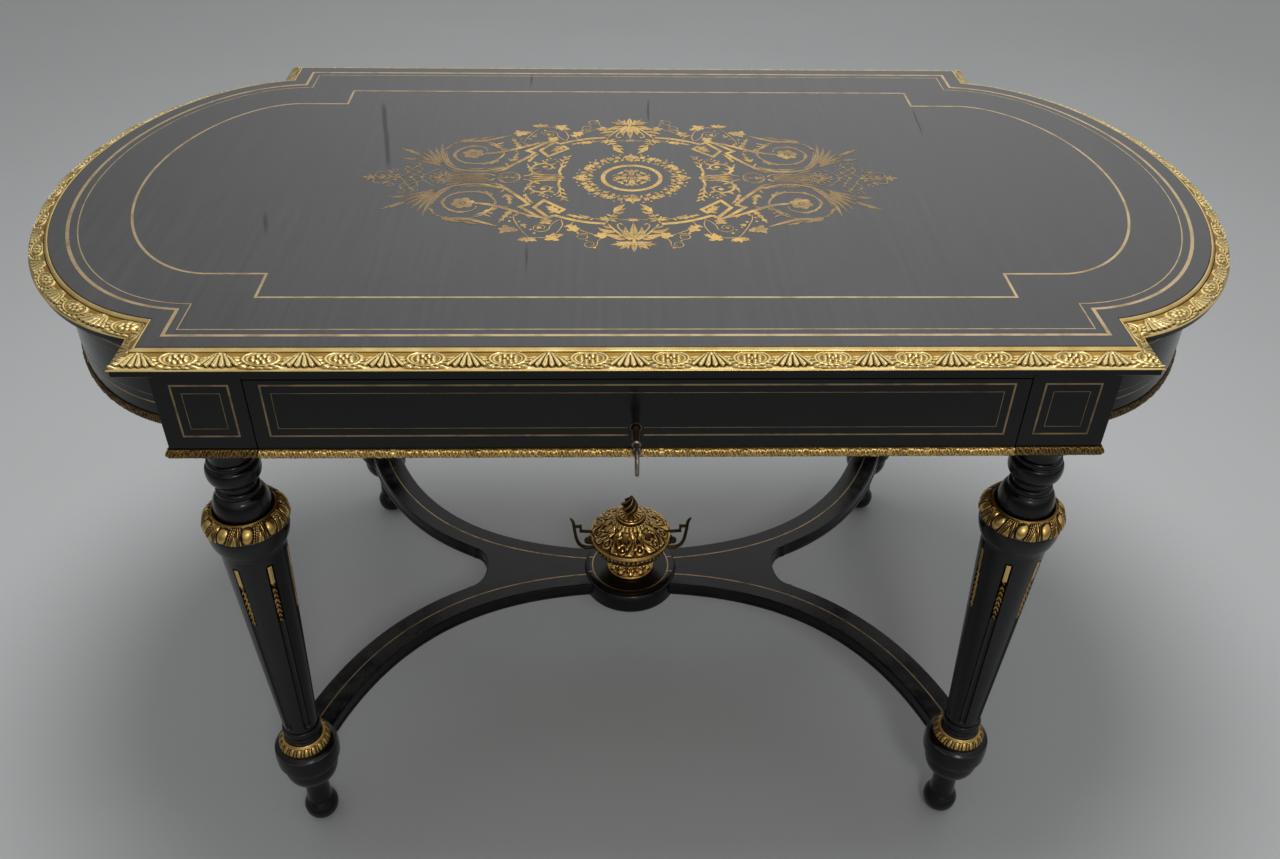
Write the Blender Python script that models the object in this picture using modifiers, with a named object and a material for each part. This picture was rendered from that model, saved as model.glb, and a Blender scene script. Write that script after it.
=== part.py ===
"""Ebonised centre table with gilt mounts, one frieze drawer and an urn on its stretcher.

Metres, +Z up. The front faces -Y. The origin lies on the floor under the middle of the whole object,
so the table's own centre sits half the key's overhang behind it.
"""
import math

import bmesh
import bpy
from mathutils import Matrix, Vector

# Fits
SEAT_GAP = 0.0003
DRAWER_GAP = 0.0010
PIVOT_GAP = 0.0004
WELD = 0.00001
SMOOTH_ANGLE = 35.0

# Top: a rectangle with a half-oval lobe at each end, inside a gilt edge moulding
TABLE_HEIGHT = 0.760
FIELD_LENGTH = 0.896
FIELD_WIDTH = 0.6954
LOBE_INSET = 0.028
LOBE_REACH = 0.2075
LOBE_SETBACK = 0.0447
LOBE_STEPS = 28
FIELD_THICKNESS = 0.0125
EDGE_THICKNESS = 0.0070
EDGE_SETBACK = 0.0020
MOULDING_WIDTH = 0.0215
MOULDING_BAND = 0.0042
MOULDING_BAND_FALL = 0.0019
MOULDING_LIP = 0.0018
MOULDING_SWELL = 0.0010
MOULDING_STEPS = 4

# Frieze under the top
APRON_INSET = 0.0020
APRON_HEIGHT = 0.1075
APRON_THICKNESS = 0.020
BLOCK_WIDTH = 0.083
BLOCK_DEPTH = 0.083
STRIP_HEIGHT = 0.010
STRIP_DEPTH = 0.005
TOP_RAIL_HEIGHT = 0.017
TOP_RAIL_DEPTH = 0.055
SIDE_RAIL_THICKNESS = 0.022
SIDE_RAIL_RISE = 0.008
RUNNER_REACH = 0.026
RUNNER_HEIGHT = 0.014

# Drawer
FRONT_THICKNESS = 0.022
DRAWER_BACK_ROOM = 0.150
DRAWER_SIDE_THICKNESS = 0.012
DRAWER_SIDE_STEP = 0.008
DRAWER_SIDE_CLEARANCE = 0.0015
DRAWER_BACK_THICKNESS = 0.012
BACK_STEP_DOWN = 0.004
BOTTOM_THICKNESS = 0.006
GROOVE_DEPTH = 0.005
GROOVE_RISE = 0.007

# Lock, key and keyhole plate
LOCK_OFFSET = -0.004
KEYHOLE_DROP = 0.0552
KEYHOLE_SLACK = 0.0013
KEYHOLE_STEPS = 14
ESCUTCHEON_RIM = 0.0016
ESCUTCHEON_THICKNESS = 0.0020
LOCK_WIDTH = 0.064
LOCK_DEPTH = 0.0125
LOCK_WALL = 0.0020
LOCK_RIM = 0.0035
BOLT_WIDTH = 0.030
BOLT_LENGTH = 0.026
BOLT_THROW = 0.008
BOLT_SINK = 0.0010
KEY_SHANK_RADIUS = 0.0034
KEY_REACH = 0.065
KEY_BOW_RADIUS = 0.0136
KEY_BOW_RIM = 0.0042
KEY_BOW_THICKNESS = 0.0044
KEY_COLLAR_RADIUS = 0.0046
KEY_COLLAR_LENGTH = 0.0040
KEY_BIT_DROP = 0.0122
KEY_BIT_THICKNESS = 0.0026
KEY_STEPS = 12
KEY_BOW_STEPS = 20

# Legs: turned from the block down to the foot
TURN_STEPS = 16
BEAD_STEPS = 4
LEG_INSET_X = 0.0375
LEG_INSET_Y = 0.0425
LEG_PIN_RADIUS = 0.012
LEG_PIN_LENGTH = 0.040
COLLAR_RADIUS = 0.0360
COLLAR_HEIGHT = 0.0090
TOP_NECK_HEIGHT = 0.0225
BULB_RADIUS = 0.0283
BULB_HEIGHT = 0.0360
NECK_RADIUS = 0.0215
NECK_HEIGHT = 0.0070
BEAD_RADIUS = 0.0262
BEAD_HEIGHT = 0.0080
OGEE_RADIUS = 0.0322
OGEE_HEIGHT = 0.0150
RING_RADIUS = 0.0450
RING_HEIGHT = 0.0185
RING_CREST = 0.0040
CUSHION_RADIUS = 0.0425
CUSHION_HEIGHT = 0.0325
SHAFT_TOP_RADIUS = 0.0348
SHAFT_END_RADIUS = 0.0205
SHAFT_BEAD_RADIUS = 0.0230
SHAFT_BEAD_HEIGHT = 0.0100
FOOT_PIN_RADIUS = 0.010
FOOT_PIN_LENGTH = 0.030
FLUTE_COUNT = 6
FLUTE_TURN = 9.0
FLUTE_RADIUS = 0.0042
FLUTE_TOP_DROP = 0.0095
FLUTE_END_RISE = 0.006
FLUTE_STEPS = 8

# Feet under the legs
DRUM_RADIUS = 0.0387
DRUM_HEIGHT = 0.0360
DRUM_SHOULDER = 0.0090
DRUM_FOOT = 0.0050
BOWL_RADIUS = 0.0325
BOWL_HEIGHT = 0.0300
BOWL_SIDE = 0.0160
BOWL_FLOOR_RADIUS = 0.0245
ANKLE_RADIUS = 0.0150
ANKLE_HEIGHT = 0.0500
BALL_SWELL = 0.0063
BALL_FLAT = 0.0100
BALL_STEPS = 6
LOWER_RING_RADIUS = 0.0315
LOWER_RING_HEIGHT = 0.0140

# X-shaped stretcher and its centre boss
STRETCHER_STEP_DOWN = 0.002
STRETCHER_THICKNESS = 0.020
ARM_WIDTH = 0.045
ARM_START = 0.014
ARM_HANDLE = 0.200
ARM_LEG_HANDLE = 0.220
ARM_LEG_ANGLE = 74.0
ARM_STEPS = 14
CROTCH_HALF_WIDTH = 0.038
CROTCH_DEPTH = 0.024
CROTCH_STEPS = 8
TENON_WIDTH = 0.018
TENON_HEIGHT = 0.010
TENON_LENGTH = 0.014
BOSS_RADIUS = 0.068
BOSS_RISE = 0.004
BOSS_DROP = 0.008
BOSS_ROUND = 0.006

# Urn on the boss
URN_FOOT_RADIUS = 0.034
URN_FOOT_EDGE = 0.005
URN_STEM_RADIUS = 0.016
URN_STEM_HEIGHT = 0.020
URN_BODY_RADIUS = 0.057
URN_BODY_HEIGHT = 0.042
URN_STEPS = 6
LID_HEIGHT = 0.033
LID_LIP = 0.005
LID_STEPS = 3
LID_KNOB_RADIUS = 0.017
FINIAL_HEIGHT = 0.036
FINIAL_RADIUS = 0.011
FINIAL_NECK_RADIUS = 0.0055
FINIAL_BELLY_RISE = 0.0135
ROD_RADIUS = 0.003
ROD_GRIP = 0.012
ROD_NUT_RADIUS = 0.008
ROD_NUT_HEIGHT = 0.006
ROD_STEPS = 12
HANDLE_RADIUS = 0.0030
HANDLE_REACH = 0.029
HANDLE_TIP_RISE = 0.028
HANDLE_DROP = 0.020
HANDLE_SIDES = 2

# Places that follow from the sizes above
FIELD_X = FIELD_LENGTH / 2
FIELD_Y = FIELD_WIDTH / 2
LOBE_X = FIELD_X - LOBE_INSET
LOBE_Y = FIELD_Y - LOBE_SETBACK
REBATE_Z = TABLE_HEIGHT - FIELD_THICKNESS
UNDERSIDE_Z = REBATE_Z - EDGE_THICKNESS
APRON_X = FIELD_X - APRON_INSET
APRON_Y = FIELD_Y - APRON_INSET
APRON_TOP = UNDERSIDE_Z - SEAT_GAP
APRON_BOTTOM = UNDERSIDE_Z - APRON_HEIGHT
BLOCK_X = APRON_X - BLOCK_WIDTH
BLOCK_Y = APRON_Y - BLOCK_DEPTH
SIDE_RAIL_BOTTOM = APRON_BOTTOM + SIDE_RAIL_RISE
RUNNER_TOP = SIDE_RAIL_BOTTOM + RUNNER_HEIGHT
DRAWER_TOP = APRON_TOP - TOP_RAIL_HEIGHT - DRAWER_GAP
DRAWER_DEPTH = 2 * APRON_Y - APRON_THICKNESS - DRAWER_BACK_ROOM
DRAWER_FRONT_X = BLOCK_X - DRAWER_GAP
LOCK_FRONT_Y = FRONT_THICKNESS - LOCK_DEPTH
BOLT_Y = FRONT_THICKNESS - LOCK_DEPTH / 2
BOLT_HALF_DEPTH = LOCK_DEPTH / 2 - LOCK_WALL - PIVOT_GAP
KEY_TIP_Y = FRONT_THICKNESS - DRAWER_GAP
CHAMBER_RADIUS = KEY_BIT_DROP + KEYHOLE_SLACK
CHAMBER_BACK_Y = FRONT_THICKNESS - LOCK_WALL
KEY_OVERHANG = APRON_Y + KEY_REACH - FIELD_Y - MOULDING_WIDTH
ORIGIN_SHIFT = max(KEY_OVERHANG, 0.0) / 2
LEG_X = APRON_X - LEG_INSET_X
LEG_Y = APRON_Y - LEG_INSET_Y
LEG_TOP = APRON_BOTTOM - SEAT_GAP
SHOULDER_Z = (LEG_TOP - COLLAR_HEIGHT - TOP_NECK_HEIGHT - BULB_HEIGHT - NECK_HEIGHT - BEAD_HEIGHT
              - OGEE_HEIGHT - RING_HEIGHT)
SHAFT_TOP = SHOULDER_Z - CUSHION_HEIGHT
BALL_RADIUS = ANKLE_RADIUS + BALL_SWELL
BALL_Z = math.sqrt(BALL_RADIUS ** 2 - BALL_FLAT ** 2)
BOWL_FLOOR = BALL_Z + math.sqrt(BALL_RADIUS ** 2 - ANKLE_RADIUS ** 2) + ANKLE_HEIGHT
DRUM_FLOOR = BOWL_FLOOR + BOWL_HEIGHT
FOOT_HEIGHT = DRUM_FLOOR + DRUM_HEIGHT
SHAFT_END = FOOT_HEIGHT + LOWER_RING_HEIGHT + 2 * SHAFT_BEAD_HEIGHT
STRETCHER_TOP = FOOT_HEIGHT - STRETCHER_STEP_DOWN
STRETCHER_BOTTOM = STRETCHER_TOP - STRETCHER_THICKNESS
BOSS_TOP = STRETCHER_TOP + BOSS_RISE
BOSS_BOTTOM = STRETCHER_BOTTOM - BOSS_DROP
URN_FLOOR = BOSS_TOP + SEAT_GAP
URN_BOWL_LOW = URN_FLOOR + URN_STEM_HEIGHT
URN_RIM = URN_BOWL_LOW + URN_BODY_HEIGHT
LID_FLOOR = URN_RIM + SEAT_GAP
LID_TOP = LID_FLOOR + LID_HEIGHT
CORNERS = {"front_left": (-1, -1), "front_right": (1, -1), "back_left": (-1, 1), "back_right": (1, 1)}
SIDES = {"left": -1, "right": 1}

for old_object in list(bpy.data.objects):
    bpy.data.objects.remove(old_object, do_unlink=True)


def make_collection(name):
    collection = bpy.data.collections.new(name)
    bpy.context.scene.collection.children.link(collection)
    return collection


def make_material(name, colour, roughness, metallic):
    material = bpy.data.materials.new(name)
    material.use_nodes = True
    shader = material.node_tree.nodes["Principled BSDF"]
    shader.inputs["Base Color"].default_value = (*colour, 1.0)
    shader.inputs["Roughness"].default_value = roughness
    shader.inputs["Metallic"].default_value = metallic
    return material


TABLE = make_collection("centre_table")
CUTTERS = make_collection("cutters")
EBONY = make_material("ebonised_wood", (0.012, 0.012, 0.014), 0.32, 0.0)
GILT = make_material("gilt_brass", (0.62, 0.43, 0.15), 0.34, 1.0)
BRONZE = make_material("antique_bronze", (0.30, 0.19, 0.07), 0.42, 1.0)
OAK = make_material("drawer_oak", (0.42, 0.27, 0.14), 0.60, 0.0)
STEEL = make_material("lock_steel", (0.33, 0.30, 0.28), 0.45, 1.0)


def make_empty(name, location, parent=None):
    empty = bpy.data.objects.new(name, None)
    empty.location = location
    empty.parent = parent
    TABLE.objects.link(empty)
    return empty


ROOT = make_empty("table", (0.0, ORIGIN_SHIFT, 0.0))
DRAWER = make_empty("drawer", (0.0, -APRON_Y, DRAWER_TOP), ROOT)


def place(name, mesh, material, location=(0.0, 0.0, 0.0), parent=ROOT, turn=0.0):
    obj = bpy.data.objects.new(name, mesh)
    obj.location = location
    obj.rotation_euler.z = turn
    obj.parent = parent
    if not mesh.materials:
        mesh.materials.append(material)
    TABLE.objects.link(obj)
    return obj


def as_cutter(mesh, name="cutter"):
    obj = bpy.data.objects.new(name, mesh)
    obj.display_type = "WIRE"
    obj.hide_render = True
    CUTTERS.objects.link(obj)
    return obj


def to_mesh(bm, name):
    mesh = bpy.data.meshes.new(name)
    bm.to_mesh(mesh)
    bm.free()
    return mesh


def baked(obj, name):
    """The evaluated mesh of a helper object, welded, with the helper removed."""
    bpy.context.view_layer.update()
    graph = bpy.context.evaluated_depsgraph_get()
    mesh = bpy.data.meshes.new_from_object(obj.evaluated_get(graph))
    mesh.name = name
    data = obj.data
    bpy.data.objects.remove(obj, do_unlink=True)
    if isinstance(data, bpy.types.Curve):
        bpy.data.curves.remove(data)
    bm = bmesh.new()
    bm.from_mesh(mesh)
    bmesh.ops.remove_doubles(bm, verts=bm.verts, dist=WELD)
    bmesh.ops.recalc_face_normals(bm, faces=bm.faces)
    bm.to_mesh(mesh)
    bm.free()
    mesh.materials.clear()
    return mesh


def box_mesh(name, low, high):
    bm = bmesh.new()
    bmesh.ops.create_cube(bm, size=1.0)
    size = Vector(high) - Vector(low)
    middle = (Vector(high) + Vector(low)) / 2
    bmesh.ops.scale(bm, vec=size, verts=bm.verts)
    bmesh.ops.translate(bm, vec=middle, verts=bm.verts)
    return to_mesh(bm, name)


def cylinder_mesh(name, radius, low, high, steps=TURN_STEPS):
    """An upright cylinder from height low to height high."""
    bm = bmesh.new()
    bmesh.ops.create_cone(
        bm, cap_ends=True, segments=steps, radius1=radius, radius2=radius, depth=high - low)
    bmesh.ops.translate(bm, vec=(0, 0, (low + high) / 2), verts=bm.verts)
    return to_mesh(bm, name)


def slab_mesh(name, outlines, low, high):
    """Flat outlines filled and extruded from height low to height high. Inner outlines make holes."""
    curve = bpy.data.curves.new(name, "CURVE")
    curve.dimensions = "2D"
    curve.fill_mode = "BOTH"
    curve.extrude = (high - low) / 2
    for points in outlines:
        spline = curve.splines.new("POLY")
        spline.points.add(len(points) - 1)
        for spot, (x, y) in zip(spline.points, points):
            spot.co = (x, y, 0.0, 1.0)
        spline.use_cyclic_u = True
    obj = bpy.data.objects.new(name, curve)
    TABLE.objects.link(obj)
    mesh = baked(obj, name)
    mesh.transform(Matrix.Translation((0, 0, (low + high) / 2)))
    return mesh


def turned_mesh(name, profile, closed=False, steps=TURN_STEPS):
    """A profile of (radius, height), from its top down the outer side, turned about Z."""
    bm = bmesh.new()
    verts = [bm.verts.new((radius, 0.0, height)) for radius, height in profile]
    for upper, lower in zip(verts, verts[1:]):
        bm.edges.new((upper, lower))
    if closed:
        bm.edges.new((verts[-1], verts[0]))
    obj = bpy.data.objects.new(name, to_mesh(bm, name))
    TABLE.objects.link(obj)
    screw = obj.modifiers.new("turn", "SCREW")
    screw.steps = steps
    screw.render_steps = steps
    screw.use_merge_vertices = True
    screw.merge_threshold = WELD
    mesh = baked(obj, name)
    mesh.shade_smooth()
    mesh.set_sharp_from_angle(angle=math.radians(SMOOTH_ANGLE))
    return mesh


def swept_mesh(name, path, profile, planes):
    """A profile of (outward, height) along a flat path, trimmed by (point, outward normal) planes.

    Outward is to the right of the path's direction.
    """
    section = bpy.data.curves.new(name + "_section", "CURVE")
    section.dimensions = "2D"
    loop = section.splines.new("POLY")
    loop.points.add(len(profile) - 1)
    for spot, (outward, height) in zip(loop.points, profile):
        spot.co = (outward, height, 0.0, 1.0)
    loop.use_cyclic_u = True
    section_obj = bpy.data.objects.new(name + "_section", section)
    CUTTERS.objects.link(section_obj)
    curve = bpy.data.curves.new(name, "CURVE")
    curve.dimensions = "2D"
    curve.bevel_mode = "OBJECT"
    curve.bevel_object = section_obj
    curve.use_fill_caps = True
    rail = curve.splines.new("POLY")
    rail.points.add(len(path) - 1)
    for spot, (x, y) in zip(rail.points, path):
        spot.co = (x, y, 0.0, 1.0)
    obj = bpy.data.objects.new(name, curve)
    TABLE.objects.link(obj)
    mesh = baked(obj, name)
    bpy.data.objects.remove(section_obj, do_unlink=True)
    bm = bmesh.new()
    bm.from_mesh(mesh)
    for point, normal in planes:
        parts = bm.verts[:] + bm.edges[:] + bm.faces[:]
        bmesh.ops.bisect_plane(
            bm, geom=parts, dist=WELD / 10, plane_co=point, plane_no=normal, clear_outer=True)
        rim = [edge for edge in bm.edges if edge.is_boundary]
        bmesh.ops.holes_fill(bm, edges=rim, sides=0)
    bmesh.ops.recalc_face_normals(bm, faces=bm.faces)
    bm.to_mesh(mesh)
    bm.free()
    return mesh


def combined(name, mesh, others, operation):
    """A mesh joined with, or cut by, other meshes."""
    obj = bpy.data.objects.new(name, mesh)
    TABLE.objects.link(obj)
    tools = [as_cutter(other) for other in others]
    for tool in tools:
        modifier = obj.modifiers.new(operation.lower(), "BOOLEAN")
        modifier.operation = operation
        modifier.object = tool
    result = baked(obj, name)
    for tool in tools:
        bpy.data.objects.remove(tool, do_unlink=True)
    return result


def joined(name, meshes):
    """Separate solids put into one mesh, for use as a single cutter."""
    bm = bmesh.new()
    for mesh in meshes:
        bm.from_mesh(mesh)
    return to_mesh(bm, name)


def moved(mesh, matrix):
    mesh.transform(matrix)
    return mesh


def facing_front(mesh):
    """Turn a mesh built upwards so that what was height runs towards the front."""
    return moved(mesh, Matrix.Rotation(math.pi / 2, 4, "X"))


def mirrored(mesh, sign_x, sign_y):
    """A copy of a mesh built for the back right corner, reflected to another corner."""
    copy = mesh.copy()
    copy.transform(Matrix.Diagonal((sign_x, sign_y, 1.0, 1.0)))
    if sign_x * sign_y < 0:
        copy.flip_normals()
    return copy


# Outline of the top

def lobe_point(angle, offset):
    """A point at a distance outside the lobe's oval, by the oval's own angle."""
    normal = Vector((LOBE_Y * math.cos(angle), LOBE_REACH * math.sin(angle))).normalized()
    point = Vector((LOBE_X + LOBE_REACH * math.cos(angle), LOBE_Y * math.sin(angle)))
    return point + normal * offset


def lobe_angle(x, offset):
    """The angle at which the curve at that distance reaches x, by halving."""
    low, high = 0.0, math.pi
    for _ in range(50):
        middle = (low + high) / 2
        if lobe_point(middle, offset).x > x:
            low = middle
        else:
            high = middle
    return low


def lobe_curve(x, offset):
    """The right lobe's parallel curve, from the front to the back, between its ends at x.

    All such curves share the same angles, so that nested ones stay clear of each other.
    """
    end = lobe_angle(x, offset)
    step = math.pi / LOBE_STEPS
    angles = [step * i for i in range(-LOBE_STEPS, LOBE_STEPS + 1)]
    between = [angle for angle in angles if abs(angle) < end - step / 4]
    return [lobe_point(angle, offset) for angle in (-end, *between, end)]


def step_corner(offset):
    """Where the rectangle's end meets the right lobe at the back, both moved out by offset."""
    x = FIELD_X + offset
    return lobe_point(lobe_angle(x, offset), offset)


def top_outline(offset):
    x = FIELD_X + offset
    y = FIELD_Y + offset
    right = lobe_curve(x, offset)
    left = [(-point.x, -point.y) for point in right]
    right_points = [(point.x, point.y) for point in right]
    return [(x, -y), *right_points, (x, y), (-x, y), *left, (-x, -y)]


def moulding_section():
    """Slanting band, slightly swelling slope, lip and back of the edge moulding."""
    low = REBATE_Z + SEAT_GAP
    high = TABLE_HEIGHT - MOULDING_BAND_FALL
    slope = MOULDING_WIDTH - MOULDING_BAND
    fall = high - low - MOULDING_LIP
    points = [(SEAT_GAP, TABLE_HEIGHT), (MOULDING_BAND, high)]
    for i in range(1, MOULDING_STEPS + 1):
        share = i / MOULDING_STEPS
        swell = MOULDING_SWELL * math.sin(math.pi * share)
        points.append((MOULDING_BAND + slope * share, high - fall * share + swell))
    points.append((MOULDING_WIDTH, low))
    points.append((SEAT_GAP, low))
    return points


def mitre_plane(inner, outer, keep):
    """The upright plane through two points, moved back by half a seat gap to the kept side."""
    along = (outer - inner).normalized()
    normal = Vector((along.y, -along.x))
    if (keep - inner).dot(normal) > 0:
        normal = -normal
    point = inner - normal * SEAT_GAP / 2
    return Vector((point.x, point.y, 0.0)), Vector((normal.x, normal.y, 0.0))


def build_top():
    upper = slab_mesh("field", [top_outline(0.0)], REBATE_Z - SEAT_GAP, TABLE_HEIGHT)
    base = slab_mesh("base", [top_outline(MOULDING_WIDTH - EDGE_SETBACK)], UNDERSIDE_Z, REBATE_Z)
    place("top_board", combined("top_board", base, [upper], "UNION"), EBONY)


def build_mouldings():
    section = moulding_section()
    corner = Vector((FIELD_X, FIELD_Y))
    corner_out = corner + Vector((MOULDING_WIDTH, MOULDING_WIDTH))
    step = step_corner(0.0)
    step_out = step_corner(MOULDING_WIDTH)
    mirror = Matrix.Diagonal((-1, 1))
    flip = Matrix.Diagonal((1, -1))
    overrun = 2 * MOULDING_WIDTH

    # Back edge, walked towards -X so that its right side faces out
    middle = Vector((0.0, FIELD_Y))
    ends = [
        mitre_plane(corner, corner_out, middle),
        mitre_plane(mirror @ corner, mirror @ corner_out, middle),
    ]
    path = [(FIELD_X + overrun, FIELD_Y), (-FIELD_X - overrun, FIELD_Y)]
    back = swept_mesh("moulding_back", path, section, ends)
    place("moulding_back", back, GILT)
    place("moulding_front", mirrored(back, 1, -1), GILT)

    # Short returns between the corners and the lobes
    middle = (corner + step) / 2
    ends = [mitre_plane(corner, corner_out, middle), mitre_plane(step, step_out, middle)]
    path = [(FIELD_X, step.y - overrun), (FIELD_X, FIELD_Y + overrun)]
    piece = swept_mesh("moulding_return", path, section, ends)
    for corner_name, (sign_x, sign_y) in CORNERS.items():
        place("moulding_return_" + corner_name, mirrored(piece, sign_x, sign_y), GILT)

    # Lobes, walked from the front to the back
    middle = Vector((LOBE_X + LOBE_REACH, 0.0))
    ends = [mitre_plane(step, step_out, middle), mitre_plane(flip @ step, flip @ step_out, middle)]
    edge = lobe_curve(FIELD_X, 0.0)
    before = edge[0] + (edge[0] - edge[1]).normalized() * overrun
    after = edge[-1] + (edge[-1] - edge[-2]).normalized() * overrun
    path = [before, *edge, after]
    piece = swept_mesh("moulding_lobe", path, section, ends)
    for side, sign in SIDES.items():
        place("moulding_lobe_" + side, mirrored(piece, sign, 1), GILT)


# Frieze

def build_corner_blocks():
    """Square blocks with a bore for each leg's pin."""
    low = (BLOCK_X, BLOCK_Y, APRON_BOTTOM)
    block = box_mesh("block", low, (APRON_X, APRON_Y, APRON_TOP))
    depth = LEG_TOP + LEG_PIN_LENGTH + SEAT_GAP
    bore = cylinder_mesh("bore", LEG_PIN_RADIUS + SEAT_GAP, APRON_BOTTOM - LEG_PIN_LENGTH, depth)
    moved(bore, Matrix.Translation((LEG_X, LEG_Y, 0.0)))
    block = combined("corner_block", block, [bore], "DIFFERENCE")
    for corner_name, (sign_x, sign_y) in CORNERS.items():
        place("corner_block_" + corner_name, mirrored(block, sign_x, sign_y), EBONY)


def build_rails():
    half = BLOCK_X - SEAT_GAP
    low = (-half, APRON_Y - APRON_THICKNESS, APRON_BOTTOM)
    place("back_apron", box_mesh("back_apron", low, (half, APRON_Y, APRON_TOP)), EBONY)

    rail_low = (-half, -APRON_Y, APRON_TOP - TOP_RAIL_HEIGHT)
    rail = box_mesh("top_rail", rail_low, (half, TOP_RAIL_DEPTH - APRON_Y, APRON_TOP))
    room = BOLT_WIDTH / 2 + DRAWER_GAP
    bolt_y = BOLT_Y - APRON_Y
    reach = BOLT_HALF_DEPTH + DRAWER_GAP
    pocket_low = (LOCK_OFFSET - room, bolt_y - reach, rail_low[2] - TOP_RAIL_HEIGHT)
    pocket_high = (LOCK_OFFSET + room, bolt_y + reach, DRAWER_TOP + BOLT_THROW + DRAWER_GAP)
    pocket = box_mesh("pocket", pocket_low, pocket_high)
    place("top_rail", combined("top_rail", rail, [pocket], "DIFFERENCE"), OAK)

    inner = BLOCK_X + SEAT_GAP
    outer = inner + SIDE_RAIL_THICKNESS
    low = SIDE_RAIL_BOTTOM
    ledge = inner - RUNNER_REACH
    points = [(ledge, low), (outer, low), (outer, APRON_TOP), (inner, APRON_TOP)]
    points += [(inner, RUNNER_TOP), (ledge, RUNNER_TOP)]
    half_length = BLOCK_Y - SEAT_GAP
    rail = facing_front(slab_mesh("side_rail", [points], -half_length, half_length))
    for side, sign in SIDES.items():
        place("side_rail_" + side, mirrored(rail, sign, 1), OAK)


def build_lobe_aprons():
    start = APRON_X + SEAT_GAP
    outer = lobe_curve(start, -APRON_INSET)
    inner = lobe_curve(start, -APRON_INSET - APRON_THICKNESS)
    outline = outer + inner[::-1]
    apron = slab_mesh("lobe_apron", [outline], APRON_BOTTOM, APRON_TOP)
    for side, sign in SIDES.items():
        place("lobe_apron_" + side, mirrored(apron, sign, 1), EBONY)


def build_strips():
    """Gilt strips along the bottom of the frieze, on the faces of what they trim."""
    low = APRON_BOTTOM
    high = APRON_BOTTOM + STRIP_HEIGHT
    face_y = APRON_Y + SEAT_GAP
    front_y = APRON_Y + STRIP_DEPTH
    face_x = APRON_X + SEAT_GAP
    front_x = APRON_X + STRIP_DEPTH

    half = BLOCK_X - SEAT_GAP
    place("strip_back", box_mesh("strip_back", (-half, face_y, low), (half, front_y, high)), GILT)

    # The drawer's own length, hung on the drawer
    half = DRAWER_FRONT_X
    drop = low - DRAWER_TOP
    corner = (half, -SEAT_GAP, drop + STRIP_HEIGHT)
    strip = box_mesh("strip_drawer", (-half, -STRIP_DEPTH, drop), corner)
    place("strip_drawer", strip, GILT, parent=DRAWER)

    end_y = lobe_point(lobe_angle(front_x, -APRON_INSET), -APRON_INSET).y + STRIP_DEPTH / 2
    points = [(BLOCK_X, front_y), (front_x, front_y), (front_x, end_y), (face_x, end_y)]
    points += [(face_x, face_y), (BLOCK_X, face_y)]
    piece = slab_mesh("strip_block", [points], low, high)
    for corner_name, (sign_x, sign_y) in CORNERS.items():
        place("strip_block_" + corner_name, mirrored(piece, sign_x, sign_y), GILT)

    start = front_x + SEAT_GAP
    outer = lobe_curve(start, STRIP_DEPTH - APRON_INSET)
    inner = lobe_curve(start, SEAT_GAP - APRON_INSET)
    piece = slab_mesh("strip_lobe", [outer + inner[::-1]], low, high)
    for side, sign in SIDES.items():
        place("strip_lobe_" + side, mirrored(piece, sign, 1), GILT)


# Drawer, with its lock. Positions are from the drawer's front face and top edge

def keyhole_outline(margin):
    """A round hole with a slot below it, as (x, height) about the key's axis."""
    radius = KEY_SHANK_RADIUS + KEYHOLE_SLACK + margin
    half = KEY_BIT_THICKNESS / 2 + KEYHOLE_SLACK + margin
    slot_end = -KEY_BIT_DROP - KEYHOLE_SLACK - margin
    start = math.asin(half / radius)
    points = []
    for i in range(KEYHOLE_STEPS + 1):
        angle = -math.pi / 2 + start + (2 * math.pi - 2 * start) * i / KEYHOLE_STEPS
        points.append((radius * math.cos(angle), radius * math.sin(angle)))
    points += [(-half, slot_end), (half, slot_end)]
    return points


def at_keyhole(mesh):
    """Move a mesh from the key's axis to the drawer's own place."""
    return moved(mesh, Matrix.Translation((LOCK_OFFSET, 0.0, -KEYHOLE_DROP)))


def lock_box(name, margin, top):
    """The lock case's block, from the drawer's top edge down past the key."""
    half = LOCK_WIDTH / 2 + margin
    bottom = -KEYHOLE_DROP - CHAMBER_RADIUS - LOCK_RIM - margin
    high = (LOCK_OFFSET + half, FRONT_THICKNESS + margin, top)
    return box_mesh(name, (LOCK_OFFSET - half, LOCK_FRONT_Y - margin, bottom), high)


def key_cylinder(name, radius, front, back):
    """A cylinder along the key's axis between two depths."""
    return facing_front(cylinder_mesh(name, radius, -back, -front, KEY_STEPS))


def build_drawer_front():
    drop = APRON_BOTTOM - DRAWER_TOP
    board = box_mesh("board", (-DRAWER_FRONT_X, 0.0, drop), (DRAWER_FRONT_X, FRONT_THICKNESS, 0.0))
    depth = ESCUTCHEON_THICKNESS + SEAT_GAP
    recess = slab_mesh("recess", [keyhole_outline(ESCUTCHEON_RIM + SEAT_GAP)], -depth, depth)
    hole = slab_mesh("hole", [keyhole_outline(0.0)], -FRONT_THICKNESS, FRONT_THICKNESS)
    cutters = [
        lock_box("lock_room", SEAT_GAP, LOCK_DEPTH),
        at_keyhole(facing_front(recess)),
        at_keyhole(facing_front(hole)),
    ]
    board = combined("drawer_front", board, cutters, "DIFFERENCE")
    place("drawer_front", board, EBONY, parent=DRAWER)


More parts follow.
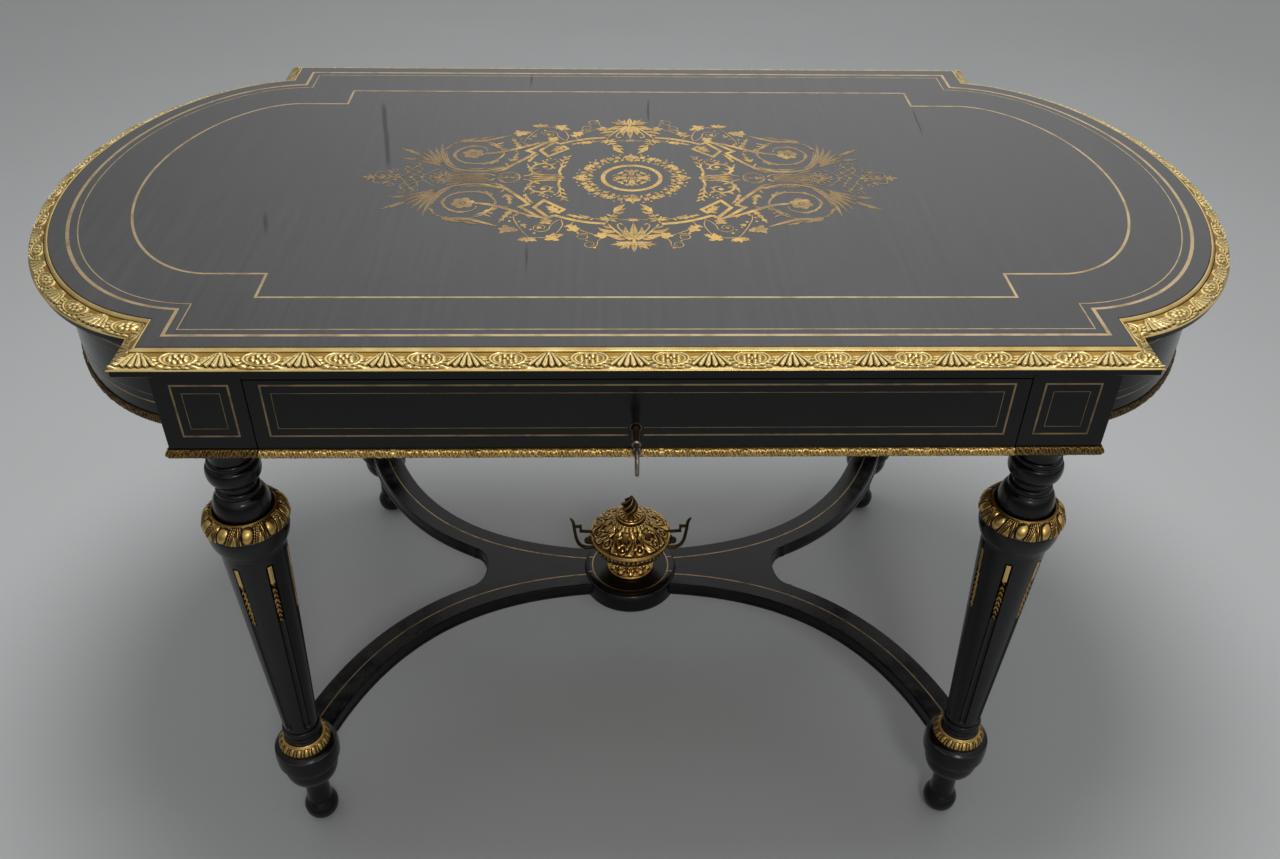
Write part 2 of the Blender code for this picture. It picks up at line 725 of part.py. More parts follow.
def build_drawer_box():
    side_outer = BLOCK_X - DRAWER_SIDE_CLEARANCE
    side_inner = side_outer - DRAWER_SIDE_THICKNESS
    low = RUNNER_TOP + SEAT_GAP - DRAWER_TOP
    high = -DRAWER_SIDE_STEP
    groove_low = low + GROOVE_RISE
    groove_high = groove_low + BOTTOM_THICKNESS + 2 * SEAT_GAP
    groove_x = side_inner + GROOVE_DEPTH
    front = FRONT_THICKNESS + SEAT_GAP
    back = DRAWER_DEPTH

    points = [(side_inner, low), (side_outer, low), (side_outer, high), (side_inner, high)]
    points += [(side_inner, groove_high), (groove_x, groove_high)]
    points += [(groove_x, groove_low), (side_inner, groove_low)]
    board = facing_front(slab_mesh("drawer_side", [points], -back, -front))
    for side, sign in SIDES.items():
        place("drawer_side_" + side, mirrored(board, sign, 1), OAK, parent=DRAWER)

    half = groove_x - SEAT_GAP
    panel_low = groove_low + SEAT_GAP
    panel_high = panel_low + BOTTOM_THICKNESS
    panel = box_mesh("drawer_bottom", (-half, front, panel_low), (half, back, panel_high))
    place("drawer_bottom", panel, OAK, parent=DRAWER)

    half = side_inner - SEAT_GAP
    back_low = (-half, back - DRAWER_BACK_THICKNESS, panel_high + SEAT_GAP)
    board = box_mesh("drawer_back", back_low, (half, back, high - BACK_STEP_DOWN))
    place("drawer_back", board, OAK, parent=DRAWER)


def build_lock():
    """Case with a chamber for the key's bit, a bearing for its tip and a channel for the bolt."""
    case = lock_box("lock_case", 0.0, -SEAT_GAP)
    chamber = key_cylinder("chamber", CHAMBER_RADIUS, 0.0, CHAMBER_BACK_Y)
    bearing = key_cylinder("bearing", KEY_SHANK_RADIUS + PIVOT_GAP, 0.0, FRONT_THICKNESS + LOCK_WALL)
    half = BOLT_WIDTH / 2 + PIVOT_GAP
    reach = BOLT_HALF_DEPTH + PIVOT_GAP
    channel_low = (LOCK_OFFSET - half, BOLT_Y - reach, -BOLT_SINK - BOLT_LENGTH - PIVOT_GAP)
    channel = box_mesh("channel", channel_low, (LOCK_OFFSET + half, BOLT_Y + reach, BOLT_LENGTH))
    cuts = [at_keyhole(chamber), at_keyhole(bearing), channel]
    place("lock_case", combined("lock_case", case, cuts, "DIFFERENCE"), STEEL, parent=DRAWER)

    half = BOLT_WIDTH / 2
    low = (-half, -BOLT_HALF_DEPTH, -BOLT_LENGTH)
    bolt = box_mesh("lock_bolt", low, (half, BOLT_HALF_DEPTH, 0.0))
    place("lock_bolt", bolt, STEEL, (LOCK_OFFSET, BOLT_Y, -BOLT_SINK), DRAWER)


def build_escutcheon():
    outlines = [keyhole_outline(ESCUTCHEON_RIM), keyhole_outline(0.0)]
    plate = slab_mesh("escutcheon", outlines, -ESCUTCHEON_THICKNESS, 0.0)
    place("escutcheon", at_keyhole(facing_front(plate)), GILT, parent=DRAWER)


def build_key():
    """Shank, collar, bit and pierced round bow, about the key's own axis."""
    bow_y = KEY_BOW_RADIUS - KEY_REACH
    hole = KEY_BOW_RADIUS - KEY_BOW_RIM
    bow_back = bow_y + KEY_BOW_RADIUS
    shank = key_cylinder("shank", KEY_SHANK_RADIUS, bow_back - KEY_BOW_RIM / 2, KEY_TIP_Y)
    collar = key_cylinder("collar", KEY_COLLAR_RADIUS, bow_back, bow_back + KEY_COLLAR_LENGTH)
    half = KEY_BIT_THICKNESS / 2
    bit_low = (-half, LOCK_FRONT_Y + DRAWER_GAP, -KEY_BIT_DROP)
    bit = box_mesh("bit", bit_low, (half, CHAMBER_BACK_Y - DRAWER_GAP, 0.0))
    rings = []
    for radius in (KEY_BOW_RADIUS, hole):
        turns = [2 * math.pi * i / KEY_BOW_STEPS for i in range(KEY_BOW_STEPS)]
        rings.append([(bow_y + radius * math.cos(turn), radius * math.sin(turn)) for turn in turns])
    bow = slab_mesh("bow", rings, -KEY_BOW_THICKNESS / 2, KEY_BOW_THICKNESS / 2)
    upright = Matrix(((0, 0, 1, 0), (1, 0, 0, 0), (0, 1, 0, 0), (0, 0, 0, 1)))
    key = combined("key", shank, [collar, bit, moved(bow, upright)], "UNION")
    place("key", key, STEEL, (LOCK_OFFSET, 0.0, -KEYHOLE_DROP), DRAWER)


# Legs

def bead_points(top, bottom, root, radius):
    """A half-round between two heights."""
    middle = (top + bottom) / 2
    half = (top - bottom) / 2
    points = []
    for i in range(BEAD_STEPS + 1):
        angle = math.pi * i / BEAD_STEPS
        points.append((root + (radius - root) * math.sin(angle), middle + half * math.cos(angle)))
    return points


def leg_profile():
    pin_top = LEG_TOP + LEG_PIN_LENGTH
    z = LEG_TOP - COLLAR_HEIGHT
    points = [(0.0, pin_top), (LEG_PIN_RADIUS, pin_top), (LEG_PIN_RADIUS, LEG_TOP)]
    points += [(COLLAR_RADIUS, LEG_TOP), (COLLAR_RADIUS, z), (NECK_RADIUS, z)]
    z -= TOP_NECK_HEIGHT
    points += bead_points(z, z - BULB_HEIGHT, NECK_RADIUS, BULB_RADIUS)
    z -= BULB_HEIGHT + NECK_HEIGHT
    points += bead_points(z, z - BEAD_HEIGHT, NECK_RADIUS, BEAD_RADIUS)
    z -= BEAD_HEIGHT + OGEE_HEIGHT
    points += [(OGEE_RADIUS, z + OGEE_HEIGHT / 2), (OGEE_RADIUS, SHOULDER_Z), (CUSHION_RADIUS, SHOULDER_Z)]
    points += [(CUSHION_RADIUS, SHOULDER_Z - CUSHION_HEIGHT / 2), (SHAFT_TOP_RADIUS, SHAFT_TOP)]
    points += bead_points(SHAFT_END, SHAFT_END - SHAFT_BEAD_HEIGHT, SHAFT_END_RADIUS, SHAFT_BEAD_RADIUS)
    low = FOOT_HEIGHT + SEAT_GAP
    pin_end = low - FOOT_PIN_LENGTH
    points += [(SHAFT_END_RADIUS, low), (FOOT_PIN_RADIUS, low), (FOOT_PIN_RADIUS, pin_end), (0.0, pin_end)]
    return points


def flutes():
    """Round-ended grooves sunk half their width into the tapering shaft."""
    high = SHAFT_TOP - FLUTE_TOP_DROP
    low = SHAFT_END + FLUTE_END_RISE
    taper = (SHAFT_TOP_RADIUS - SHAFT_END_RADIUS) / (SHAFT_TOP - SHAFT_END)
    middle = (high + low) / 2
    radius = SHAFT_END_RADIUS + taper * (middle - SHAFT_END)
    half = (high - low) / 2 / math.cos(math.atan(taper))
    shoulder = FLUTE_RADIUS * math.sin(math.pi / 4)
    profile = [(0.0, half), (shoulder, half - FLUTE_RADIUS + shoulder), (FLUTE_RADIUS, half - FLUTE_RADIUS)]
    profile += [(r, -z) for r, z in reversed(profile)]
    lean = Matrix.Translation((radius, 0.0, middle)) @ Matrix.Rotation(math.atan(taper), 4, "Y")
    capsules = []
    for i in range(FLUTE_COUNT):
        turn = math.radians(FLUTE_TURN) + 2 * math.pi * i / FLUTE_COUNT
        capsule = turned_mesh("flute", profile, steps=FLUTE_STEPS)
        capsules.append(moved(capsule, Matrix.Rotation(turn, 4, "Z") @ lean))
    return joined("flutes", capsules)


def upper_ring_profile():
    """A swelling ring on the leg's shoulder, bored for the leg's ogee."""
    low = SHOULDER_Z + SEAT_GAP
    high = SHOULDER_Z + RING_HEIGHT
    crest = SHOULDER_Z + RING_CREST
    bore = OGEE_RADIUS + SEAT_GAP
    lip = (RING_RADIUS - bore) / 4
    upper = [(bore, high), (bore + lip, high), (RING_RADIUS - lip, (crest + high) / 2)]
    lower = [(RING_RADIUS - lip / 2, (crest + low) / 2), (RING_RADIUS - lip, low), (bore, low)]
    return [*upper, (RING_RADIUS, crest), *lower]


def lower_ring_profile():
    low = FOOT_HEIGHT + SEAT_GAP
    high = FOOT_HEIGHT + LOWER_RING_HEIGHT
    bore = SHAFT_END_RADIUS + SEAT_GAP
    half_way = (LOWER_RING_RADIUS + bore) / 2
    outer = [(half_way, high), (LOWER_RING_RADIUS, (low + high) / 2), (LOWER_RING_RADIUS, low)]
    return [(bore, high), *outer, (bore, low)]


def foot_profile(margin=0.0):
    """Drum, bowl, ankle and ball, from the drum's top to the floor."""
    points = [(LOWER_RING_RADIUS, FOOT_HEIGHT), (DRUM_RADIUS, FOOT_HEIGHT - DRUM_SHOULDER)]
    points += [(DRUM_RADIUS, DRUM_FLOOR + DRUM_FOOT), (BOWL_RADIUS, DRUM_FLOOR)]
    points += [(BOWL_RADIUS, DRUM_FLOOR - BOWL_SIDE), (BOWL_FLOOR_RADIUS, BOWL_FLOOR)]
    points.append((ANKLE_RADIUS, BOWL_FLOOR))
    ankle_turn = math.asin(ANKLE_RADIUS / BALL_RADIUS)
    floor_turn = math.pi - math.asin(BALL_FLAT / BALL_RADIUS)
    for i in range(BALL_STEPS + 1):
        turn = ankle_turn + (floor_turn - ankle_turn) * i / BALL_STEPS
        points.append((BALL_RADIUS * math.sin(turn), BALL_Z + BALL_RADIUS * math.cos(turn)))
    return [(radius + margin, height) for radius, height in points]


def foot_mesh():
    """The turned foot, bored for the shaft's pin and morticed towards +X for the stretcher's tenon."""
    bore = FOOT_PIN_RADIUS + SEAT_GAP
    bore_low = FOOT_HEIGHT - FOOT_PIN_LENGTH - SEAT_GAP
    profile = [(0.0, bore_low), (bore, bore_low), (bore, FOOT_HEIGHT), *foot_profile(), (0.0, 0.0)]
    mortice = tenon_mesh(DRUM_RADIUS, SEAT_GAP)
    return combined("leg_foot", turned_mesh("leg_foot", profile), [mortice], "DIFFERENCE")


def build_legs():
    leg = combined("leg", turned_mesh("leg", leg_profile()), [flutes()], "DIFFERENCE")
    foot = foot_mesh()
    upper_ring = turned_mesh("leg_ring_upper", upper_ring_profile(), closed=True)
    lower_ring = turned_mesh("leg_ring_lower", lower_ring_profile(), closed=True)
    for corner_name, (sign_x, sign_y) in CORNERS.items():
        spot = (sign_x * LEG_X, sign_y * LEG_Y, 0.0)
        place("leg_" + corner_name, leg, EBONY, spot)
        place("leg_foot_" + corner_name, foot, EBONY, spot, turn=arm_turn(sign_x, sign_y))
        place("leg_ring_upper_" + corner_name, upper_ring, GILT, spot)
        place("leg_ring_lower_" + corner_name, lower_ring, GILT, spot)


# Stretcher

def tenon_mesh(seat_radius, margin=0.0):
    """A tenon along X, set back from a round seat of that radius, or its mortice with a margin."""
    middle = (STRETCHER_TOP + STRETCHER_BOTTOM) / 2
    half = TENON_WIDTH / 2 + margin
    rise = TENON_HEIGHT / 2 + margin
    inner = seat_radius - TENON_LENGTH - margin
    outer = seat_radius + TENON_LENGTH
    return box_mesh("tenon", (inner, -half, middle - rise), (outer, half, middle + rise))


def arm_turn(sign_x, sign_y):
    """The heading from a leg's axis back along its arm."""
    angle = math.radians(ARM_LEG_ANGLE)
    return math.atan2(-sign_y * math.sin(angle), -sign_x * math.cos(angle))


def arm_edge(offset):
    """The back right arm's centre line, or an edge beside it, from the boss to the leg's axis."""
    angle = math.radians(ARM_LEG_ANGLE)
    leg = Vector((LEG_X, LEG_Y))
    controls = [
        Vector((0.0, ARM_START)),
        Vector((ARM_HANDLE, ARM_START)),
        leg - ARM_LEG_HANDLE * Vector((math.cos(angle), math.sin(angle))),
        leg,
    ]
    points = []
    for i in range(ARM_STEPS + 1):
        t = i / ARM_STEPS
        s = 1 - t
        weights = (s ** 3, 3 * s * s * t, 3 * s * t * t, t ** 3)
        point = sum((w * c for w, c in zip(weights, controls)), Vector((0.0, 0.0)))
        heading = (s * s * (controls[1] - controls[0]) + 2 * s * t * (controls[2] - controls[1])
                   + t * t * (controls[3] - controls[2])).normalized()
        points.append(point + offset * Vector((-heading.y, heading.x)))
    return points


def fork_outline():
    """Both right arms, with the rounded crotch between them."""
    outer = arm_edge(ARM_WIDTH / 2)
    inner = [point for point in arm_edge(-ARM_WIDTH / 2) if point.y > CROTCH_HALF_WIDTH]
    crotch = []
    for i in range(1, CROTCH_STEPS):
        turn = math.pi * (0.5 - i / CROTCH_STEPS)
        crotch.append((inner[0].x - CROTCH_DEPTH * math.cos(turn), CROTCH_HALF_WIDTH * math.sin(turn)))
    back = [(point.x, point.y) for point in outer + inner[::-1]]
    front = [(x, -y) for x, y in reversed(back)]
    return back + crotch + front


def build_stretcher():
    fork = slab_mesh("stretcher", [fork_outline()], STRETCHER_BOTTOM, STRETCHER_TOP)
    cuts = [cylinder_mesh("boss_room", BOSS_RADIUS + SEAT_GAP, BOSS_BOTTOM, BOSS_TOP)]
    tenons = [tenon_mesh(BOSS_RADIUS)]
    for sign_y in (-1, 1):
        seat = Matrix.Translation((LEG_X, sign_y * LEG_Y, 0.0))
        heading = seat @ Matrix.Rotation(arm_turn(1, sign_y), 4, "Z")
        room = foot_profile(SEAT_GAP)
        cuts.append(moved(turned_mesh("foot_room", [(0.0, FOOT_HEIGHT), *room, (0.0, 0.0)]), heading))
        tenons.append(moved(tenon_mesh(DRUM_RADIUS), heading))
    fork = combined("stretcher", fork, cuts, "DIFFERENCE")
    fork = combined("stretcher", fork, tenons, "UNION")
    for side, sign in SIDES.items():
        place("stretcher_" + side, mirrored(fork, sign, 1), EBONY)

    bore = ROD_RADIUS + SEAT_GAP
    round_step = BOSS_ROUND * (1 - math.sin(math.pi / 4))
    profile = [(bore, BOSS_TOP), (BOSS_RADIUS - BOSS_ROUND, BOSS_TOP)]
    profile += [(BOSS_RADIUS - round_step, BOSS_TOP - round_step), (BOSS_RADIUS, BOSS_TOP - BOSS_ROUND)]
    profile += [(BOSS_RADIUS, BOSS_BOTTOM), (bore, BOSS_BOTTOM)]
    mortices = [tenon_mesh(BOSS_RADIUS, SEAT_GAP)]
    mortices.append(moved(tenon_mesh(BOSS_RADIUS, SEAT_GAP), Matrix.Rotation(math.pi, 4, "Z")))
    boss = combined("stretcher_boss", turned_mesh("boss", profile, closed=True), mortices, "DIFFERENCE")
    place("stretcher_boss", boss, EBONY)


# Urn

def bowl_radius(height):
    """The bowl's quarter-oval side at a height."""
    share = 1 - (height - URN_BOWL_LOW) / URN_BODY_HEIGHT
    return URN_STEM_RADIUS + (URN_BODY_RADIUS - URN_STEM_RADIUS) * math.sqrt(max(0.0, 1 - share * share))


def build_urn():
    bore = ROD_RADIUS + SEAT_GAP
    bowl = [URN_BOWL_LOW + URN_BODY_HEIGHT * i / URN_STEPS for i in range(URN_STEPS, -1, -1)]
    profile = [(bore, URN_RIM), *[(bowl_radius(height), height) for height in bowl]]
    profile.append((URN_FOOT_RADIUS, URN_FLOOR + URN_FOOT_EDGE))
    profile += [(URN_FOOT_RADIUS, URN_FLOOR), (bore, URN_FLOOR)]
    place("urn_body", turned_mesh("urn_body", profile, closed=True), BRONZE)

    top = LID_TOP + FINIAL_HEIGHT
    belly = LID_TOP + FINIAL_BELLY_RISE
    profile = [(0.0, top), (FINIAL_NECK_RADIUS, (top + belly) / 2), (FINIAL_RADIUS, belly)]
    profile += [(FINIAL_NECK_RADIUS, LID_TOP), (LID_KNOB_RADIUS, LID_TOP)]
    for i in range(1, LID_STEPS + 1):
        angle = math.pi / 2 * i / LID_STEPS
        radius = LID_KNOB_RADIUS + (URN_BODY_RADIUS - LID_KNOB_RADIUS) * math.sin(angle)
        profile.append((radius, LID_FLOOR + LID_LIP + (LID_HEIGHT - LID_LIP) * math.cos(angle)))
    socket = LID_FLOOR + ROD_GRIP
    profile += [(URN_BODY_RADIUS, LID_FLOOR), (bore, LID_FLOOR), (bore, socket), (0.0, socket)]
    place("urn_lid", turned_mesh("urn_lid", profile), BRONZE)

    nut_top = BOSS_BOTTOM - SEAT_GAP
    nut_low = nut_top - ROD_NUT_HEIGHT
    tip = socket - SEAT_GAP
    profile = [(0.0, tip), (ROD_RADIUS, tip), (ROD_RADIUS, nut_top), (ROD_NUT_RADIUS, nut_top)]
    profile += [(ROD_NUT_RADIUS, nut_low), (0.0, nut_low)]
    place("urn_rod", turned_mesh("urn_rod", profile, steps=ROD_STEPS), STEEL)


def tube_mesh(name, points):
    """A round bar through points in the XZ plane."""
    curve = bpy.data.curves.new(name, "CURVE")
    curve.dimensions = "3D"
    curve.bevel_depth = HANDLE_RADIUS
    curve.bevel_resolution = HANDLE_SIDES
    curve.use_fill_caps = True
    spline = curve.splines.new("POLY")
    spline.points.add(len(points) - 1)
    for spot, (x, z) in zip(spline.points, points):
        spot.co = (x, 0.0, z, 1.0)
    obj = bpy.data.objects.new(name, curve)
    TABLE.objects.link(obj)
    return baked(obj, name)


def build_urn_handles():
    """An upswept bar from the bowl's side to a free tip, with a stepped bracket back to the rim."""
    low = URN_RIM - HANDLE_DROP
    step_z = URN_RIM + HANDLE_TIP_RISE / 2
    start = bowl_radius(low + HANDLE_RADIUS) + SEAT_GAP
    seat = URN_BODY_RADIUS + SEAT_GAP
    tip_x = URN_BODY_RADIUS + HANDLE_REACH
    bend = (start + tip_x) / 2
    knee = (bend + tip_x) / 2
    bar = [(start, low), (bend, low + HANDLE_RADIUS), (knee, URN_RIM - HANDLE_RADIUS)]
    bar += [(tip_x - HANDLE_RADIUS, step_z), (tip_x, URN_RIM + HANDLE_TIP_RISE)]
    step_x = (seat + knee) / 2
    bracket = [(tip_x - HANDLE_RADIUS, step_z), (step_x, step_z), (step_x, URN_RIM), (seat, URN_RIM)]
    handle = combined("urn_handle", tube_mesh("bar", bar), [tube_mesh("bracket", bracket)], "UNION")
    for side, sign in SIDES.items():
        place("urn_handle_" + side, mirrored(handle, sign, 1), BRONZE)


build_top()
build_mouldings()
build_corner_blocks()
build_rails()
build_lobe_aprons()
build_strips()
build_drawer_front()
build_drawer_box()
build_lock()
build_escutcheon()
build_key()
build_legs()
build_stretcher()
build_urn()
build_urn_handles()
bpy.context.view_layer.update()
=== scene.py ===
import math

import bmesh
import bpy
import numpy as np
from mathutils import Matrix, Vector


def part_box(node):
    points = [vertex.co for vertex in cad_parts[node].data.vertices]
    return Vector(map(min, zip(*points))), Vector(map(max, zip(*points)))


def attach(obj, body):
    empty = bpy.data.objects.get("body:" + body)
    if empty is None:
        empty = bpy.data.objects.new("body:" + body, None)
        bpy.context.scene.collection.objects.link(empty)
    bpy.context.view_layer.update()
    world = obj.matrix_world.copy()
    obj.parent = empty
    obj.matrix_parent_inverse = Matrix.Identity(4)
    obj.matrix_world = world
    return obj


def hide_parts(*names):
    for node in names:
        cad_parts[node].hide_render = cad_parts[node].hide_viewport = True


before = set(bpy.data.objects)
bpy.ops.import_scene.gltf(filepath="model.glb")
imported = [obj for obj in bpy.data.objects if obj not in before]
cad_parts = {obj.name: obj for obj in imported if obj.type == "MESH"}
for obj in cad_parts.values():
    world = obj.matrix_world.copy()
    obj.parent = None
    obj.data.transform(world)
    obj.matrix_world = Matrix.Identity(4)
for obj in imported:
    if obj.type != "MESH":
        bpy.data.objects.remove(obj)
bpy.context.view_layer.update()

# The script works in millimetres about the middle of the top, and addPiece turns them into the frame's metres
mm = 0.001
boardLow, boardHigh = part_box("top_board")
midY = (boardLow.y + boardHigh.y) / 2
topZ = boardHigh.z / mm
corners = {"front_left": (-1, -1), "front_right": (1, -1), "back_left": (-1, 1), "back_right": (1, 1)}
sides = {"left": (-1, 1), "right": (1, 1)}


# Shader maths and material bench

class Wire:
    def __init__(self, bench, socket):
        self.bench = bench
        self.socket = socket

    def __add__(self, other):
        return self.bench.maths("ADD", self, other)

    def __radd__(self, other):
        return self.bench.maths("ADD", other, self)

    def __sub__(self, other):
        return self.bench.maths("SUBTRACT", self, other)

    def __rsub__(self, other):
        return self.bench.maths("SUBTRACT", other, self)

    def __mul__(self, other):
        return self.bench.maths("MULTIPLY", self, other)

    def __rmul__(self, other):
        return self.bench.maths("MULTIPLY", other, self)

    def __abs__(self):
        return self.bench.maths("ABSOLUTE", self, 0.0)


class Bench:
    def __init__(self, tree):
        self.tree = tree

    def feed(self, socket, value):
        if isinstance(value, Wire):
            self.tree.links.new(value.socket, socket)
        else:
            socket.default_value = value

    def node(self, kind, settings=None, inputs=None, output=0):
        made = self.tree.nodes.new(kind)
        for key, value in (settings or {}).items():
            setattr(made, key, value)
        for key, value in (inputs or {}).items():
            self.feed(made.inputs[key], value)
        return Wire(self, made.outputs[output])

    def maths(self, operation, a, b):
        return self.node("ShaderNodeMath", {"operation": operation}, {0: a, 1: b})

    def axis(self, vector, label):
        return self.node("ShaderNodeSeparateXYZ", None, {0: vector}, label)

    def painted(self, name):  # a value that addPiece stored on the mesh's points
        return self.node("ShaderNodeAttribute", {"attribute_name": name}, output="Fac")

    def place(self, stretch=(1, 1, 1)):
        spot = self.node("ShaderNodeTexCoord", output="Object")
        return self.node("ShaderNodeVectorMath", {"operation": "MULTIPLY"}, {0: spot, 1: stretch})

    def noise(self, scale, stretch=(1, 1, 1), detail=3.0, rough=0.55):
        values = {"Vector": self.place(stretch), "Scale": scale, "Detail": detail, "Roughness": rough}
        return self.node("ShaderNodeTexNoise", None, values)

    def between(self, value, low, high):
        settings = {"interpolation_type": "SMOOTHSTEP", "clamp": True}
        return self.node("ShaderNodeMapRange", settings, {"Value": value, 1: low, 2: high})

    def blend(self, share, a, b):
        settings = {"data_type": "RGBA", "clamp_factor": True}
        return self.node("ShaderNodeMix", settings, {0: share, 6: a, 7: b}, output=2)

    def bump(self, height, distance, strength=1.0):
        values = {"Height": height, "Distance": distance, "Strength": strength}
        return self.node("ShaderNodeBump", None, values)


class Finish(Bench):
    def __init__(self, name, slot):
        self.material = bpy.data.materials.new(name)
        self.material.use_nodes = True
        super().__init__(self.material.node_tree)
        self.shader = self.tree.nodes["Principled BSDF"]
        self.slot = slot

    def wear(self, **sockets):
        for key, value in sockets.items():
            self.feed(self.shader.inputs[key.replace("_", " ")], value)
        return self


def rgb(red, green, blue):
    shades = []
    for shade in (red, green, blue):
        share = shade / 255
        shades.append(share / 12.92 if share <= 0.04045 else ((share + 0.055) / 1.055) ** 2.4)
    return (*shades, 1.0)


# Finishes

def ebonisedTop():
    # Painted reflection: these colours are dark greys, lighter than the black of the other ebonised parts;
    # partly a real haze on the polish, partly a painted reflection of the bright room.
    look = {"black": rgb(38, 38, 39), "bloom": rgb(49, 49, 49), "smear": rgb(60, 60, 59), "smeared": 0.6,
            "split": rgb(14, 14, 14), "splitShade": 0.27, "splitDeep": 4.0, "wander": 0.004, "rough": 0.26,
            "splits": [(-0.3195, 0.228, -0.2795, 0.012, 0.0036), (0.0225, 0.245, 0.0200, 0.150, 0.0018),
                       (-0.3985, -0.075, -0.3800, -0.150, 0.0030), (-0.1138, -0.150, -0.1100, -0.225, 0.0016),
                       (-0.1330, 0.345, -0.1335, 0.270, 0.0018), (0.3640, 0.215, 0.3560, 0.110, 0.0012)]}
    wood = Finish("ebonised_top", "ebonised_wood")
    cloud = wood.noise(4.0, (1, 0.7, 1), 4.0)
    streak = wood.noise(150.0, (1, 0.03, 1), 3.0)
    weave = wood.noise(420.0, (0.03, 1, 1), 2.0)
    pores = wood.noise(900.0, (1, 0.05, 1), 2.0)
    bloom = wood.between(streak * 0.45 + cloud * 0.4 + weave * 0.15, 0.38, 0.66)
    smear = wood.between(wood.noise(26.0, (1, 0.08, 1), 2.0), 0.66, 0.80) * wood.between(cloud, 0.42, 0.62)

    # Shrinkage splits across the board, each a line that wanders and fades at its ends
    spot = wood.place()
    x = wood.axis(spot, "X")
    y = wood.axis(spot, "Y") - midY
    wander = (wood.noise(24.0, (0.2, 1, 1), 3.0) - 0.5) * look["wander"]
    split = 0.0
    for startX, startY, endX, endY, wide in look["splits"]:
        lean = (endX - startX) / (endY - startY)
        off = abs(x - (y - startY) * lean - startX + wander)
        inside = wood.between(y, endY, endY + 0.04) * (1.0 - wood.between(y, startY - 0.03, startY))
        split = split + (1.0 - wood.between(off, wide * 0.1, wide * 1.3)) * inside
    ground = wood.blend(bloom, look["black"], look["bloom"])
    ground = wood.blend(smear * look["smeared"], ground, look["smear"])
    relief = pores * 0.5 + weave * 0.3 + streak * 0.2 - split * look["splitDeep"]
    wood.wear(Base_Color=wood.blend(split * look["splitShade"], ground, look["split"]), IOR=1.6,
              Roughness=cloud * 0.10 + streak * 0.06 + smear * 0.08 + split * 0.3 + (look["rough"] - 0.08),
              Normal=wood.bump(relief, 0.00005, 0.4))
    return wood


def ebonisedWood(name, dustier):
    look = {"black": rgb(8, 8, 9), "dust": rgb(20, 19, 19), "bare": rgb(86, 78, 70), "chafedAndHighlit": 0.8,
            "settled": rgb(58, 55, 54), "rough": 0.17}
    wood = Finish(name, "ebonised_wood")
    wornAndLit = wood.painted("wornAndLit")
    upward = wood.axis(wood.node("ShaderNodeNewGeometry", output="Normal"), "Z")
    cloud = wood.noise(14.0, detail=4.0)
    grain = wood.noise(260.0, (1, 1, 0.08), 3.0)
    speck = wood.between(wood.noise(700.0, detail=1.0), 0.70, 0.78)
    dust = wood.between(cloud, 0.45, 0.75) * 0.55 + speck * 0.45
    # Painted highlight on proud edges: the lighter bare colour there is partly real wear and partly stands in
    # for the highlights that the edges catch.
    chafeAndHighlight = wornAndLit * wood.between(wood.noise(90.0), 0.32, 0.62)
    patches = wood.between(cloud * 0.6 + wood.noise(60.0) * 0.4, 0.36, 0.64)
    settled = wood.between(upward, 0.6, 0.95) * patches * dustier
    black = wood.blend(dust, look["black"], look["dust"])
    black = wood.blend(settled, black, look["settled"])
    wood.wear(Base_Color=wood.blend(chafeAndHighlight * look["chafedAndHighlit"], black, look["bare"]), IOR=1.34,
              Roughness=cloud * 0.16 + grain * 0.08 + chafeAndHighlight * 0.12 + settled * 0.3 + (look["rough"] - 0.10),
              Normal=wood.bump(grain, 0.00008, 0.3))
    return wood


def inlaidBrass(name, bright, dull, engravingAndSheenFade=0.0):
    look = {"cut": rgb(74, 58, 38), "sheenFadeFrom": 0.06, "sheenFadeTo": 0.26, "rough": 0.22}
    brass = Finish(name, "gilt_brass")
    cloud = brass.noise(45.0, detail=4.0)
    scratch = brass.noise(500.0, (0.15, 1, 1), 2.0)
    # Painted reflection: the inlay is brighter near the middle of the top and duller towards both ends,
    # standing in for the room's reflection.
    outer = abs(brass.axis(brass.place(), "X"))
    ends = brass.between(outer, look["sheenFadeFrom"], look["sheenFadeTo"]) * engravingAndSheenFade
    tarnishAndSheenFade = brass.between(cloud * 0.75 + scratch * 0.25 + ends * 0.55, 0.42, 0.70)
    cut = brass.between(brass.noise(620.0, detail=2.0), 0.55, 0.67) * engravingAndSheenFade
    metal = brass.blend(tarnishAndSheenFade, bright, dull)
    brass.wear(Base_Color=brass.blend(cut, metal, look["cut"]), Metallic=1.0,
               Roughness=cloud * 0.2 + scratch * 0.12 + cut * 0.2 + look["rough"],
               Normal=brass.bump(scratch - cut, 0.00003, 0.4))
    return brass


